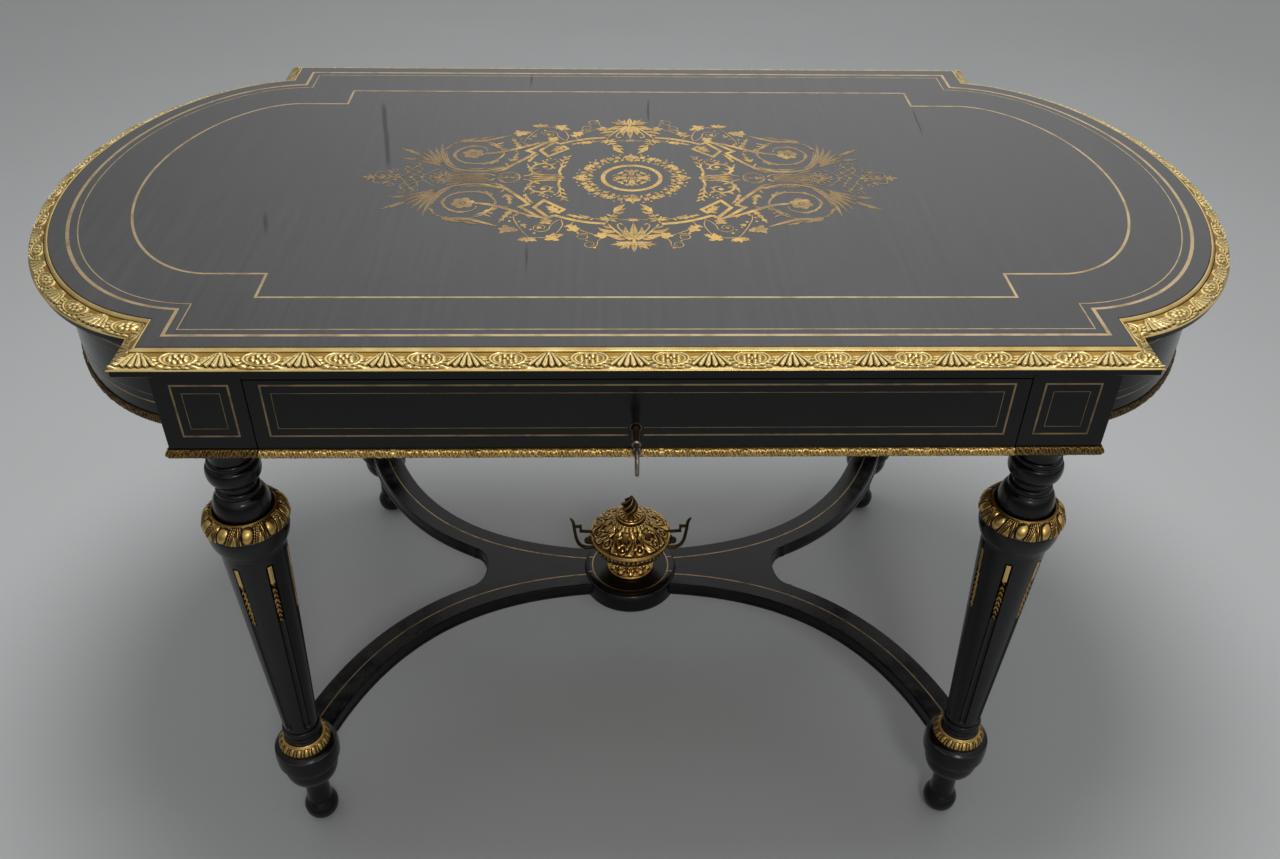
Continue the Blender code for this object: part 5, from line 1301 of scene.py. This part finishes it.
def lowerRing():
    k = tongues
    run, _ = collar([(21.0, 150.4), (30.0, 150.4)],
                    [(30.6, 151.0), (30.6, 153.4), (29.2, 157.2), (26.8, 160.4), (25.2, k["high"])],
                    [(24.9, 162.6), (23.8, 163.8), (22.6, 163.2)])
    turn = fullTurn(k["steps"])
    z = run[:, 1:2]
    gate = smooth((z - k["low"]) / 1.0) * smooth((k["high"] - z) / 0.8) * (run[:, :1] > 25.0)
    share = (k["high"] - z) / 10.8
    q = wrap(turn * k["count"] / (2 * math.pi) + k["lean"] * share, 1.0) * 2
    tongue = np.hypot(q / 0.62, (share - 0.42) / 0.56)
    lift = 1.2 * np.sqrt(np.maximum(1 - tongue ** 2, 0)) + 0.8 * ridge(tongue - 1.32, 0.14)
    lift = gate * (lift + 0.9 * ridge(np.abs(q) - 1.0, 0.14) * smooth(share * 2) - 0.2)
    # Dirt and painted shade in the hollows.
    return loopedShell(reliefRows(run, lift)), np.ravel(0.15 + hollows(lift, 2, 0.5) * gate)


def footShell():
    profile = profileOf([(22.0, 149.9), (31.0, 149.9)], [(31.6, 149.7), (34.4, 148.6), (36.6, 146.9)],
                        [(37.5, 146.2), (38.4, 140.0), (38.7, 133.0), (38.6, 126.0), (38.3, 121.6)],
                        [(37.8, 121.0), (35.2, 120.4)], [(33.9, 119.6), (33.2, 118.2), (33.4, 116.8)],
                        [(34.2, 116.2), (34.4, 115.2), (33.8, 114.2)],
                        [(33.4, 113.4), (33.2, 106.0), (32.4, 99.0), (29.8, 91.0), (25.6, 85.2)],
                        [(24.2, 84.2), (18.6, 83.4), (16.4, 79.0), (15.2, 70.0), (14.8, 58.0), (15.0, 46.0),
                         (15.4, 37.0)],
                        [(15.8, 34.4), (18.8, 29.4), (20.9, 24.0), (21.3, 18.6), (20.2, 11.8), (17.0, 5.8),
                         (12.4, 1.4)],
                        [(10.4, 0.0), (9.0, 0.0)])
    return turnedShell(turnedRows(profile, 64)), arrisWearAndHighlight(profile, 64)


def huskShells():  # one gilt drop in each flute: a bar, then pairs of leaves down a stem
    h = husk
    long = np.linspace(0, h["long"], 190)[:, None]
    side = np.linspace(-h["half"], h["half"], 23)[None, :]
    bar = smooth((h["barHalf"] - np.abs(side)) / 0.7)
    bar = bar * smooth((long - 0.8) / 0.8) * smooth((h["barLong"] - long) / 0.8)
    lift = bar * (h["barLift"] + 0.3 * ridge(side, 1.6))
    lift = np.maximum(lift, h["stemLift"] * ridge(side, 0.7) * (long > 27) * (long < 92))
    lean = math.radians(h["leafLean"])
    for i in range(h["leaves"]):
        start = h["leafStart"] + h["leafStep"] * i
        full = 0.6 + 0.5 * math.sin(math.pi * (i + 0.5) / h["leaves"]) + 0.12 * (i % 2)
        reach = h["leafReach"] * full
        for hand in (-1, 1):
            down = long - start - 0.8 * hand
            run = down * math.cos(lean) + side * hand * math.sin(lean)
            off = side * hand * math.cos(lean) - down * math.sin(lean) + 0.3
            share = np.clip(run / reach, 0, 1)
            half = 1.5 * full * np.sin(math.pi * share ** 0.7) * (0.82 + 0.18 * np.cos(share * 5 * math.pi))
            blade = smooth((half - np.abs(off)) / 0.45 + 0.4) * (run > 0) * (run < reach)
            lift = np.maximum(lift, blade * (3.5 + 0.7 * ridge(off, 0.5) + 0.5 * share))
    lift = lift * smooth((h["long"] - long) / 3)
    z = leg["fluteTop"] - 1.6 - long
    under = shaftRadius(z) - h["under"]
    out = np.hstack([shaftRadius(z) - h["bed"] + lift, under, under])
    side = np.repeat(np.hstack([side, [[h["half"], -h["half"]]]]), len(long), 0)
    # Dirt and painted shade in the hollows, a little less on the bar; the husk's hidden sides in the flute
    # are fully darkened as painted shade.
    hollow = np.hstack([0.25 + hollows(lift, 2, 0.9) - 0.2 * bar, np.ones((len(long), 2))])
    shells = []
    for k in range(leg["flutes"]):
        angle = math.radians(leg["turn"]) + 2 * math.pi * k / leg["flutes"]
        rows = np.stack([out * math.cos(angle) - side * math.sin(angle),
                         out * math.sin(angle) + side * math.cos(angle), z + 0 * side], -1)
        shells.append(turnedShell(rows))
    return merged(shells), np.tile(hollow.ravel(), leg["flutes"])


def makeLegs():
    pieces = [("turned_leg_", "leg_", legShell(), ebony, 32, "wornAndLit"),
              ("egg_ring_", "leg_ring_upper_", eggRing(), ringGilt, 75, "cavity"),
              ("ankle_ring_", "leg_ring_lower_", lowerRing(), ringGilt, 75, "cavity"),
              ("turned_foot_", "leg_foot_", footShell(), ebony, 32, "wornAndLit"),
              ("flute_husks_", None, huskShells(), darkGilt, 60, "cavity")]
    for corner, (signX, signY) in corners.items():
        spot = (signX * leg["x"], signY * leg["y"], 0)
        for name, node, (shell, values), finish, sharp, label in pieces:
            replaced = [node + corner] if node else []
            addPiece(name + corner, *moved(shell, spot), finish, replaced, sharp=sharp, **{label: values})


makeLegs()
print("legs made")


# Crossed stretcher with its boss

stretcher = {"low": 127.9, "high": 147.9, "width": 45.0, "start": 14.0, "handle": 200.0, "legHandle": 220.0,
             "legAngle": 74.0, "crotchHalf": 38.0, "crotchDeep": 24.0, "steps": 40, "line": 1.6,
             "lineDeep": 0.6, "lineSpan": (0.105, 0.945), "bossLow": 119.9, "bossHigh": 151.9,
             "ringRadius": 55.0, "ringHalf": 0.9}


def armLine(offset, first=0.0, last=1.0):
    k = stretcher
    lean = math.radians(k["legAngle"])
    foot = np.array([leg["x"], leg["y"]])
    knots = [np.array([0.0, k["start"]]), np.array([k["handle"], k["start"]]),
             foot - k["legHandle"] * np.array([math.cos(lean), math.sin(lean)]), foot]
    t = np.linspace(first, last, k["steps"] + 1)[:, None]
    s = 1 - t
    line = s ** 3 * knots[0] + 3 * s * s * t * knots[1] + 3 * s * t * t * knots[2] + t ** 3 * knots[3]
    return line + offset * outwards(line)


def forkOutline():
    k = stretcher
    outer = armLine(k["width"] / 2)
    inner = armLine(-k["width"] / 2)
    inner = inner[inner[:, 1] > k["crotchHalf"]]
    turn = np.linspace(math.pi / 2, 0, 17)[1:]
    crotch = np.column_stack([inner[0, 0] - k["crotchDeep"] * np.cos(turn), k["crotchHalf"] * np.sin(turn)])
    back = np.vstack([outer, inner[::-1], crotch])
    front = back[::-1] * (1, -1)
    return np.vstack([back, front[1:]])


def makeStretcher():
    k = stretcher
    low, high = k["low"], k["high"]
    outline = forkOutline()
    run = np.roll(outline, -1, 0) - np.roll(outline, 1, 0)
    run /= np.linalg.norm(run, axis=1)[:, None]
    outside = np.column_stack([-run[:, 1], run[:, 0]])
    section = [(1.2, low), (0.0, low + 1.2), (0.0, low + 5.0), (1.0, low + 5.6), (1.0, high - 2.2),
               (1.7, high - 0.7), (3.2, high)]
    loops = [atHeight(outline - outside * inset, z) for inset, z in section]
    addEach(sides, "crossed_stretcher_", "stretcher_", turnedShell(np.array(loops)), dustyEbony, sharp=20)
    crown = k["bossHigh"]
    profile = profileOf([(8.0, k["bossLow"]), (62.0, k["bossLow"])],
                        [(66.5, 121.0), (67.8, 124.0), (68.0, 130.0), (68.0, 140.0), (67.4, 145.6),
                         (65.0, 149.8), (60.5, 151.7)],
                        [(59.5, crown), (58.0, crown)], [(57.0, crown), (8.0, crown)])
    addPiece("round_boss", *turnedShell(turnedRows(profile, 96)), ebony, ["stretcher_boss"], sharp=35)

    # Brass lines along the arms, and the ring on the boss with the short lines that join them
    lines = Marquetry()
    ring = Marquetry()
    ring.ring(0, 0, k["ringRadius"] - k["ringHalf"], k["ringRadius"] + k["ringHalf"], 90)
    arms = armLine(0.0, *k["lineSpan"])
    joins = np.array([(53.4, 14.6), (60.4, 14.9)])
    for signX in (-1, 1):
        for signY in (-1, 1):
            lines.along(arms * (signX, signY), k["line"])
            ring.along(joins * (signX, signY), k["line"])
    shells = lines.shells(atHeight, high - k["lineDeep"], high + inlay["proud"])
    shells += ring.shells(atHeight, crown - k["lineDeep"], crown + inlay["proud"])
    addInlay("stretcher_lines", shells, panelBrass)


makeStretcher()
print("stretcher made")


# Covered urn on the boss

urn = {"floor": 152.2, "rim": 214.2, "lidLow": 214.5, "steps": 288, "footLeaves": 12, "beads": 28,
       "gadroons": 14, "lidLeaves": 12, "reeds": 13, "calyx": 7}
flame = {"low": 251.5, "tall": 32.0, "wide": 11.6, "ribs": 5, "twist": 3.4}


def turnedRelief(name, run, lift, finish, replaced, depth):
    shell = turnedShell(reliefRows(run, lift))
    # Dirt and painted shade in the relief's hollows.
    addPiece(name, *shell, finish, replaced, sharp=75, cavity=hollows(lift, 3, depth))


def acanthus(turn, share, count):  # leaf relief between share 0 at its root and 1 at its tip
    period = 2 * math.pi / count
    q = wrap(turn, period) / (period / 2)
    reach = np.clip(share, 0, 1)
    outline = 0.86 * np.sin(math.pi * np.clip(reach * 0.86 + 0.12, 0, 1)) ** 0.7
    outline = outline * (0.84 + 0.16 * np.cos(reach * 7 * math.pi))
    body = smooth((outline - np.abs(q)) / 0.12) * (share > 0) * (share < 1)
    veins = 0.62 + 0.38 * np.cos((np.abs(q) * 3.4 - reach * 3.2) * math.pi)
    return body * (0.5 + 0.6 * veins + 0.5 * ridge(q, 0.10))


def makeUrn():
    turn = fullTurn(urn["steps"])[None, :]
    floor, rim = urn["floor"], urn["rim"]
    body = np.vstack([
        profileOf([(4.0, floor), (33.2, floor)],
                  [(34.0, floor + 0.8), (34.2, floor + 2.6), (33.4, floor + 4.4)],
                  [(32.4, floor + 4.8), (31.4, floor + 5.2)]),
        spline([(31.0, 157.8), (27.6, 160.4), (22.6, 163.2), (18.6, 166.6), (16.4, 170.0)], 5),
        spline([(17.4, 170.8), (18.2, 172.2), (17.4, 173.6)], 3),
        spline([(18.0, 174.4), (28.0, 178.0), (39.5, 184.6), (48.6, 193.4), (53.8, 202.6), (55.6, 208.6)], 7),
        profileOf([(56.0, 209.4), (57.0, 210.4), (57.3, 212.2), (56.8, 213.8)], [(55.4, rim), (4.0, rim)])])
    z = body[:, 1:2]
    footShare = (168.5 - z) / 11.0
    lift = 1.5 * acanthus(turn, footShare, urn["footLeaves"]) * (z > 157) * (z < 169)
    lift = lift + 0.7 * ridge(z - 172.2, 0.9) * (0.5 + 0.5 * np.cos(turn * urn["beads"]))
    gadroon = np.abs(np.sin(turn * urn["gadroons"])) ** 0.6
    bowl = smooth((z - 174.6) / 3) * smooth((200 - z) / 4)
    lift = lift + bowl * (1.7 * gadroon - 0.6)
    band = smooth((z - 200) / 2) * smooth((209 - z) / 2)
    lift = lift + band * (0.9 * ridge(np.sin(turn * 9) - (z - 204.6) / 3.0, 0.35) + 0.5 * np.cos(turn * 54))
    lift = lift * ((z > 157) & (z < 209.5))
    turnedRelief("urn_bowl", body, lift, bronze, ["urn_body"], 0.9)

    low = urn["lidLow"]
    lid = np.vstack([
        profileOf([(4.0, low), (56.6, low)], [(57.3, low + 0.5), (57.4, low + 1.4), (56.9, low + 2.2)],
                  [(56.0, low + 2.5), (55.0, low + 2.7)]),
        spline([(54.4, 217.6), (48.6, 221.4), (40.2, 226.2), (32.6, 231.0), (27.0, 236.0), (23.2, 241.2),
                (21.4, 245.0)], 9),
        profileOf([(19.2, 245.4), (19.7, 246.6), (19.7, 248.2), (18.9, 249.3)],
                  [(16.8, 249.6), (13.6, 251.2), (9.4, 252.4), (6.0, 253.6)])])
    z = lid[:, 1:2]
    reeds = smooth((z - 236.5) / 1.5) * smooth((245.2 - z) / 1.0)
    reeds = reeds * (0.4 + 1.1 * np.abs(np.sin(turn * urn["reeds"])))
    share = (238.5 - z) / 23.5
    curled = turn + 0.11 * np.sin(math.pi * 1.5 * np.clip(share, 0, 1)) * np.cos(6 * turn)
    broad = acanthus(curled, share, urn["lidLeaves"]) * (z > 217.6) * (z < 238.5)
    around = np.hypot(wrap(turn - math.pi / 12, math.pi / 6) * 47.0, (z - 222.8) * 1.35)
    curls = (1.3 * ridge(around - 4.8, 0.9) + 1.4 * ridge(around, 2.0)) * (z > 217.6) * (z < 230)
    lift = np.maximum(np.maximum(1.7 * broad, curls), reeds)
    lift = lift * smooth((z - 217.6) / 0.6)
    calyx = smooth((z - 249.6) / 0.6) * (0.8 * np.abs(np.sin(turn * urn["calyx"])))
    lift = np.where(z < 245.2, lift, calyx)
    turnedRelief("urn_cover", lid, lift, bronze, ["urn_lid"], 0.8)

    # Flame finial: a twisted, leaning drop
    share = np.linspace(0, 1, 44)[:, None]
    high = flame["low"] + flame["tall"] * share
    drop = flame["wide"] * np.sin(math.pi * np.clip(share * 0.80 + 0.17, 0, 1)) ** 1.25 + 0.4
    swirl = turn - share * flame["twist"]
    ribs = 0.5 + 0.5 * np.cos(flame["ribs"] * swirl)
    radius = drop * (0.66 + 0.40 * ribs ** 0.8)
    leanX = -2.5 * np.sin(math.pi * share * 0.9) + 2.2 * share ** 3
    rows = np.stack([radius * np.cos(turn) + leanX, radius * np.sin(turn), high + 0 * turn], -1)[:, ::2]
    # Dirt and painted shade in the grooves between the flame's ribs.
    addPiece("urn_flame", *turnedShell(rows), bronze, sharp=60, cavity=0.3 + (1 - ribs[:, ::2]) * 0.65)


def barShell(points, thick, deep, steps=6):  # a bar of rounded square section along points in the XZ plane
    line = spline(points, steps) if len(points) > 2 else np.asarray(points, float)
    turn = fullTurn(12)
    square = np.stack([np.sign(np.cos(turn)) * np.abs(np.cos(turn)) ** 0.5,
                       np.sign(np.sin(turn)) * np.abs(np.sin(turn)) ** 0.5], -1) / 2
    rows = []
    for spot, aim, size in zip(line, outwards(line), spread(thick, len(line))):
        x = spot[0] + aim[0] * size * square[:, 0]
        z = spot[1] + aim[1] * size * square[:, 0]
        rows.append(np.column_stack([x, deep * square[:, 1], z]))
    return turnedShell(np.array(rows))


def makeUrnHandles():
    t = np.linspace(0, 1, 30)
    turn = math.radians(100) + t * 2 * math.pi * 1.25
    radius = 6.2 - 4.4 * t
    scroll = np.column_stack([61.0 + radius * np.cos(turn), 200.0 + radius * np.sin(turn)])
    bars = [
        barShell([(47.0, 190.0), (54, 186.4), (63, 186.0), (71.5, 190.0), (76.6, 200), (79.0, 213),
                  (80.6, 227.5)], [5.0, 4.6, 4.4, 4.2, 4.2, 4.2, 4.4], 5.4),
        barShell([(80.4, 225.5), (81.2, 233), (83.2, 238.4), (85.6, 241.4)], [4.0, 4.4, 3.0, 1.0], 4.4),
        barShell([(80.4, 226.4), (69.2, 226.4)], [3.8, 3.8], 4.4),
        barShell([(71.0, 228.2), (71.0, 216.0)], [3.6, 3.6], 4.4),
        barShell([(72.7, 217.8), (55.5, 216.2)], [3.6, 3.8], 4.4),
        barShell(scroll, [3.2, 3.0, 3.4], 5.6, 1),
        barShell([(50.0, 196.0), (55.5, 193.8), (60.0, 195.5)], [3.4, 2.6, 2.0], 5.2),
    ]
    shell = merged(bars)
    # The handles are darkened evenly all over by a middling value of the same dirt and painted shade.
    addEach(sides, "urn_ear_", "urn_handle_", shell, bronze, sharp=45, cavity=np.full(len(shell[0]), 0.5))


makeUrn()
makeUrnHandles()
print("urn made")


# Key in the drawer lock

key = {"x": -4.0, "face": 345.7, "z": 667.0, "bowRadius": 11.4, "bowThick": 2.3, "bowAt": 51.4,
       "bitHalf": 1.3, "bitDeep": (18.8, 10.7), "bitTall": (-12.0, -2.5)}


def makeKey():
    shaft = profileOf([(3.3, -20.8), (3.3, 24.0)], [(3.4, 24.2), (4.4, 24.8), (4.6, 26.0), (3.6, 27.0)],
                      [(3.0, 27.4), (2.7, 31.0), (3.4, 34.0)], [(4.7, 34.4), (4.9, 36.0), (4.0, 37.6)],
                      [(3.2, 38.0), (2.6, 41.0), (2.2, 43.0)])
    shells = [turnedShell(turnedRows(shaft, 24)[..., [0, 2, 1]] * (1, -1, 1))]
    turn = fullTurn(56)[:, None]
    tube = fullTurn(14)[None, :]
    swell = 1 + 0.22 * np.cos(turn)
    out = key["bowRadius"] + key["bowThick"] * swell * np.cos(tube)
    flat = key["bowThick"] * 0.86 * np.sin(tube) + 0 * turn
    bow = np.stack([flat, -key["bowAt"] + out * np.cos(turn), out * np.sin(turn)], -1)
    shells.append(loopedShell(bow))
    half, (low, high) = key["bitHalf"], key["bitTall"]
    plate = [(-half, low), (half, low), (half, high), (-half, high)]
    bit = [[(x, deep, z) for x, z in plate] for deep in key["bitDeep"]]
    shells.append(turnedShell(np.array(bit)))
    verts, faces = merged(shells)
    addPiece("drawer_key", verts + (key["x"], -key["face"], key["z"]), faces, steel, ["key"], "key", 40)


makeKey()
print("key made")


# Frame nodes that keep their own shape

kept = {"ebony": ["back_apron", "drawer_front", "top_rail", *["corner_block_" + c for c in corners]],
        "oak": ["drawer_side_left", "drawer_side_right", "drawer_back", "drawer_bottom", "side_rail_left",
                "side_rail_right"],
        "steel": ["lock_case", "lock_bolt", "urn_rod"], "brass": ["escutcheon"],
        "edge": 0.0007, "edgeSteps": 2, "edgeAngle": 40, "weld": 0.00002}


def dressKept():
    finishes = {"ebony": ebony, "oak": oak, "steel": steel, "brass": darkBrass}
    for label, finish in finishes.items():
        for name in kept[label]:
            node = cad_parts[name]
            for slot in node.material_slots:
                slot.material = finish.material
            if label in ("ebony", "oak"):
                weld = node.modifiers.new("joined", "WELD")
                weld.merge_threshold = kept["weld"]
                edge = node.modifiers.new("eased", "BEVEL")
                edge.width = kept["edge"]
                edge.segments = kept["edgeSteps"]
                edge.limit_method = "ANGLE"
                edge.angle_limit = math.radians(kept["edgeAngle"])


dressKept()
print("kept nodes dressed")


# Studio: pale floor, soft light and the photograph's viewpoint

studio = {"focal": 1131.645, "frameWide": 1280.0, "sensor": 36.0, "eye": (-0.02761, -1.19462, 1.31583),
          "yaw": -0.03243, "pitch": 0.65391, "roll": 0.01653, "floorHalf": 40.0, "floor": rgb(196, 198, 199),
          "floorShade": rgb(189, 191, 192), "walls": (1.0, 1.0, 1.0, 1.0), "sky": 0.29,
          "shine": 1.0, "horizon": 0.28, "rise": 0.45, "left": (-0.6, 0.05), "leftLevel": 0.40,
          "right": (0.2, 0.75), "rightDim": 0.4}
lamps = {"lamp_over": {"spot": (0.0, 0.15, 2.9), "aim": (0, 0.05, 0.7), "size": 1.1, "power": 47.0,
                       "mirrored": False},
         "lamp_front": {"spot": (0.4, -2.4, 2.4), "aim": (0, 0, 0.6), "size": 0.55, "power": 11.0,
                        "mirrored": True}}


def makeCamera():
    cy, sy = math.cos(studio["yaw"]), math.sin(studio["yaw"])
    cp, sp = math.cos(studio["pitch"]), math.sin(studio["pitch"])
    cr, sr = math.cos(studio["roll"]), math.sin(studio["roll"])
    level = Vector((cy, sy, 0))
    ahead = Vector((-sy, cy, 0))
    aim = cp * ahead - sp * Vector((0, 0, 1))
    lift = sp * ahead + cp * Vector((0, 0, 1))
    right = cr * level + sr * lift
    up = -sr * level + cr * lift
    lens = bpy.data.cameras.new("photo_view")
    lens.sensor_width = studio["sensor"]
    lens.lens = studio["focal"] / studio["frameWide"] * lens.sensor_width
    camera = bpy.data.objects.new("photo_view", lens)
    bpy.context.scene.collection.objects.link(camera)
    turn = Matrix((right, up, -aim)).transposed().to_4x4()
    eye = Vector(studio["eye"]) + Vector((0, midY, 0))
    camera.matrix_world = Matrix.Translation(eye) @ turn
    bpy.context.scene.camera = camera


def makeFloor():
    half = studio["floorHalf"]
    mesh = bpy.data.meshes.new("studio_floor")
    spots = [(-half, -half, 0), (half, -half, 0), (half, half, 0), (-half, half, 0)]
    mesh.from_pydata(spots, [], [(0, 1, 2, 3)])
    floor = bpy.data.objects.new("studio_floor", mesh)
    bpy.context.scene.collection.objects.link(floor)
    paint = Finish("floor_paint", None)
    cloud = paint.noise(1.6, detail=5.0)
    colour = paint.blend(cloud, studio["floor"], studio["floorShade"])
    paint.wear(Base_Color=colour, Roughness=cloud * 0.1 + 0.5)
    mesh.materials.append(paint.material)


def addLamp(name, spot, aim, size, power, mirrored):
    lamp = bpy.data.lights.new(name, "AREA")
    lamp.shape = "DISK"
    lamp.size = size
    lamp.energy = power
    holder = bpy.data.objects.new(name, lamp)
    bpy.context.scene.collection.objects.link(holder)
    holder.location = spot
    holder.visible_glossy = mirrored
    holder.rotation_euler = (Vector(aim) - Vector(spot)).to_track_quat("-Z", "Y").to_euler()


def makeLight():
    world = bpy.data.worlds.new("soft_room")
    world.use_nodes = True
    bpy.context.scene.world = world
    room = Bench(world.node_tree)
    spot = room.node("ShaderNodeTexCoord", output="Generated")
    tall = room.axis(spot, "Z")
    across = room.axis(spot, "X")
    seen = room.node("ShaderNodeLightPath", output="Is Camera Ray")
    shine = room.node("ShaderNodeLightPath", output="Is Glossy Ray")

    # What metal and polish mirror: darker low down and towards both sides
    horizon, left = studio["horizon"], studio["leftLevel"]
    walls = room.between(tall, 0.0, studio["rise"]) * (studio["shine"] - horizon) + horizon
    walls = walls * (room.between(across, *studio["left"]) * (1.0 - left) + left)
    walls = walls * (1.0 - room.between(across, *studio["right"]) * studio["rightDim"])
    level = shine * walls + seen + (1.0 - shine) * (1.0 - seen) * studio["sky"]
    backdrop = world.node_tree.nodes["Background"]
    room.feed(backdrop.inputs["Color"], studio["walls"])
    room.feed(backdrop.inputs["Strength"], level)
    for name, lamp in lamps.items():
        addLamp(name, **lamp)
    bpy.context.scene.view_settings.view_transform = "Standard"


makeCamera()
makeFloor()
makeLight()
print("studio made")
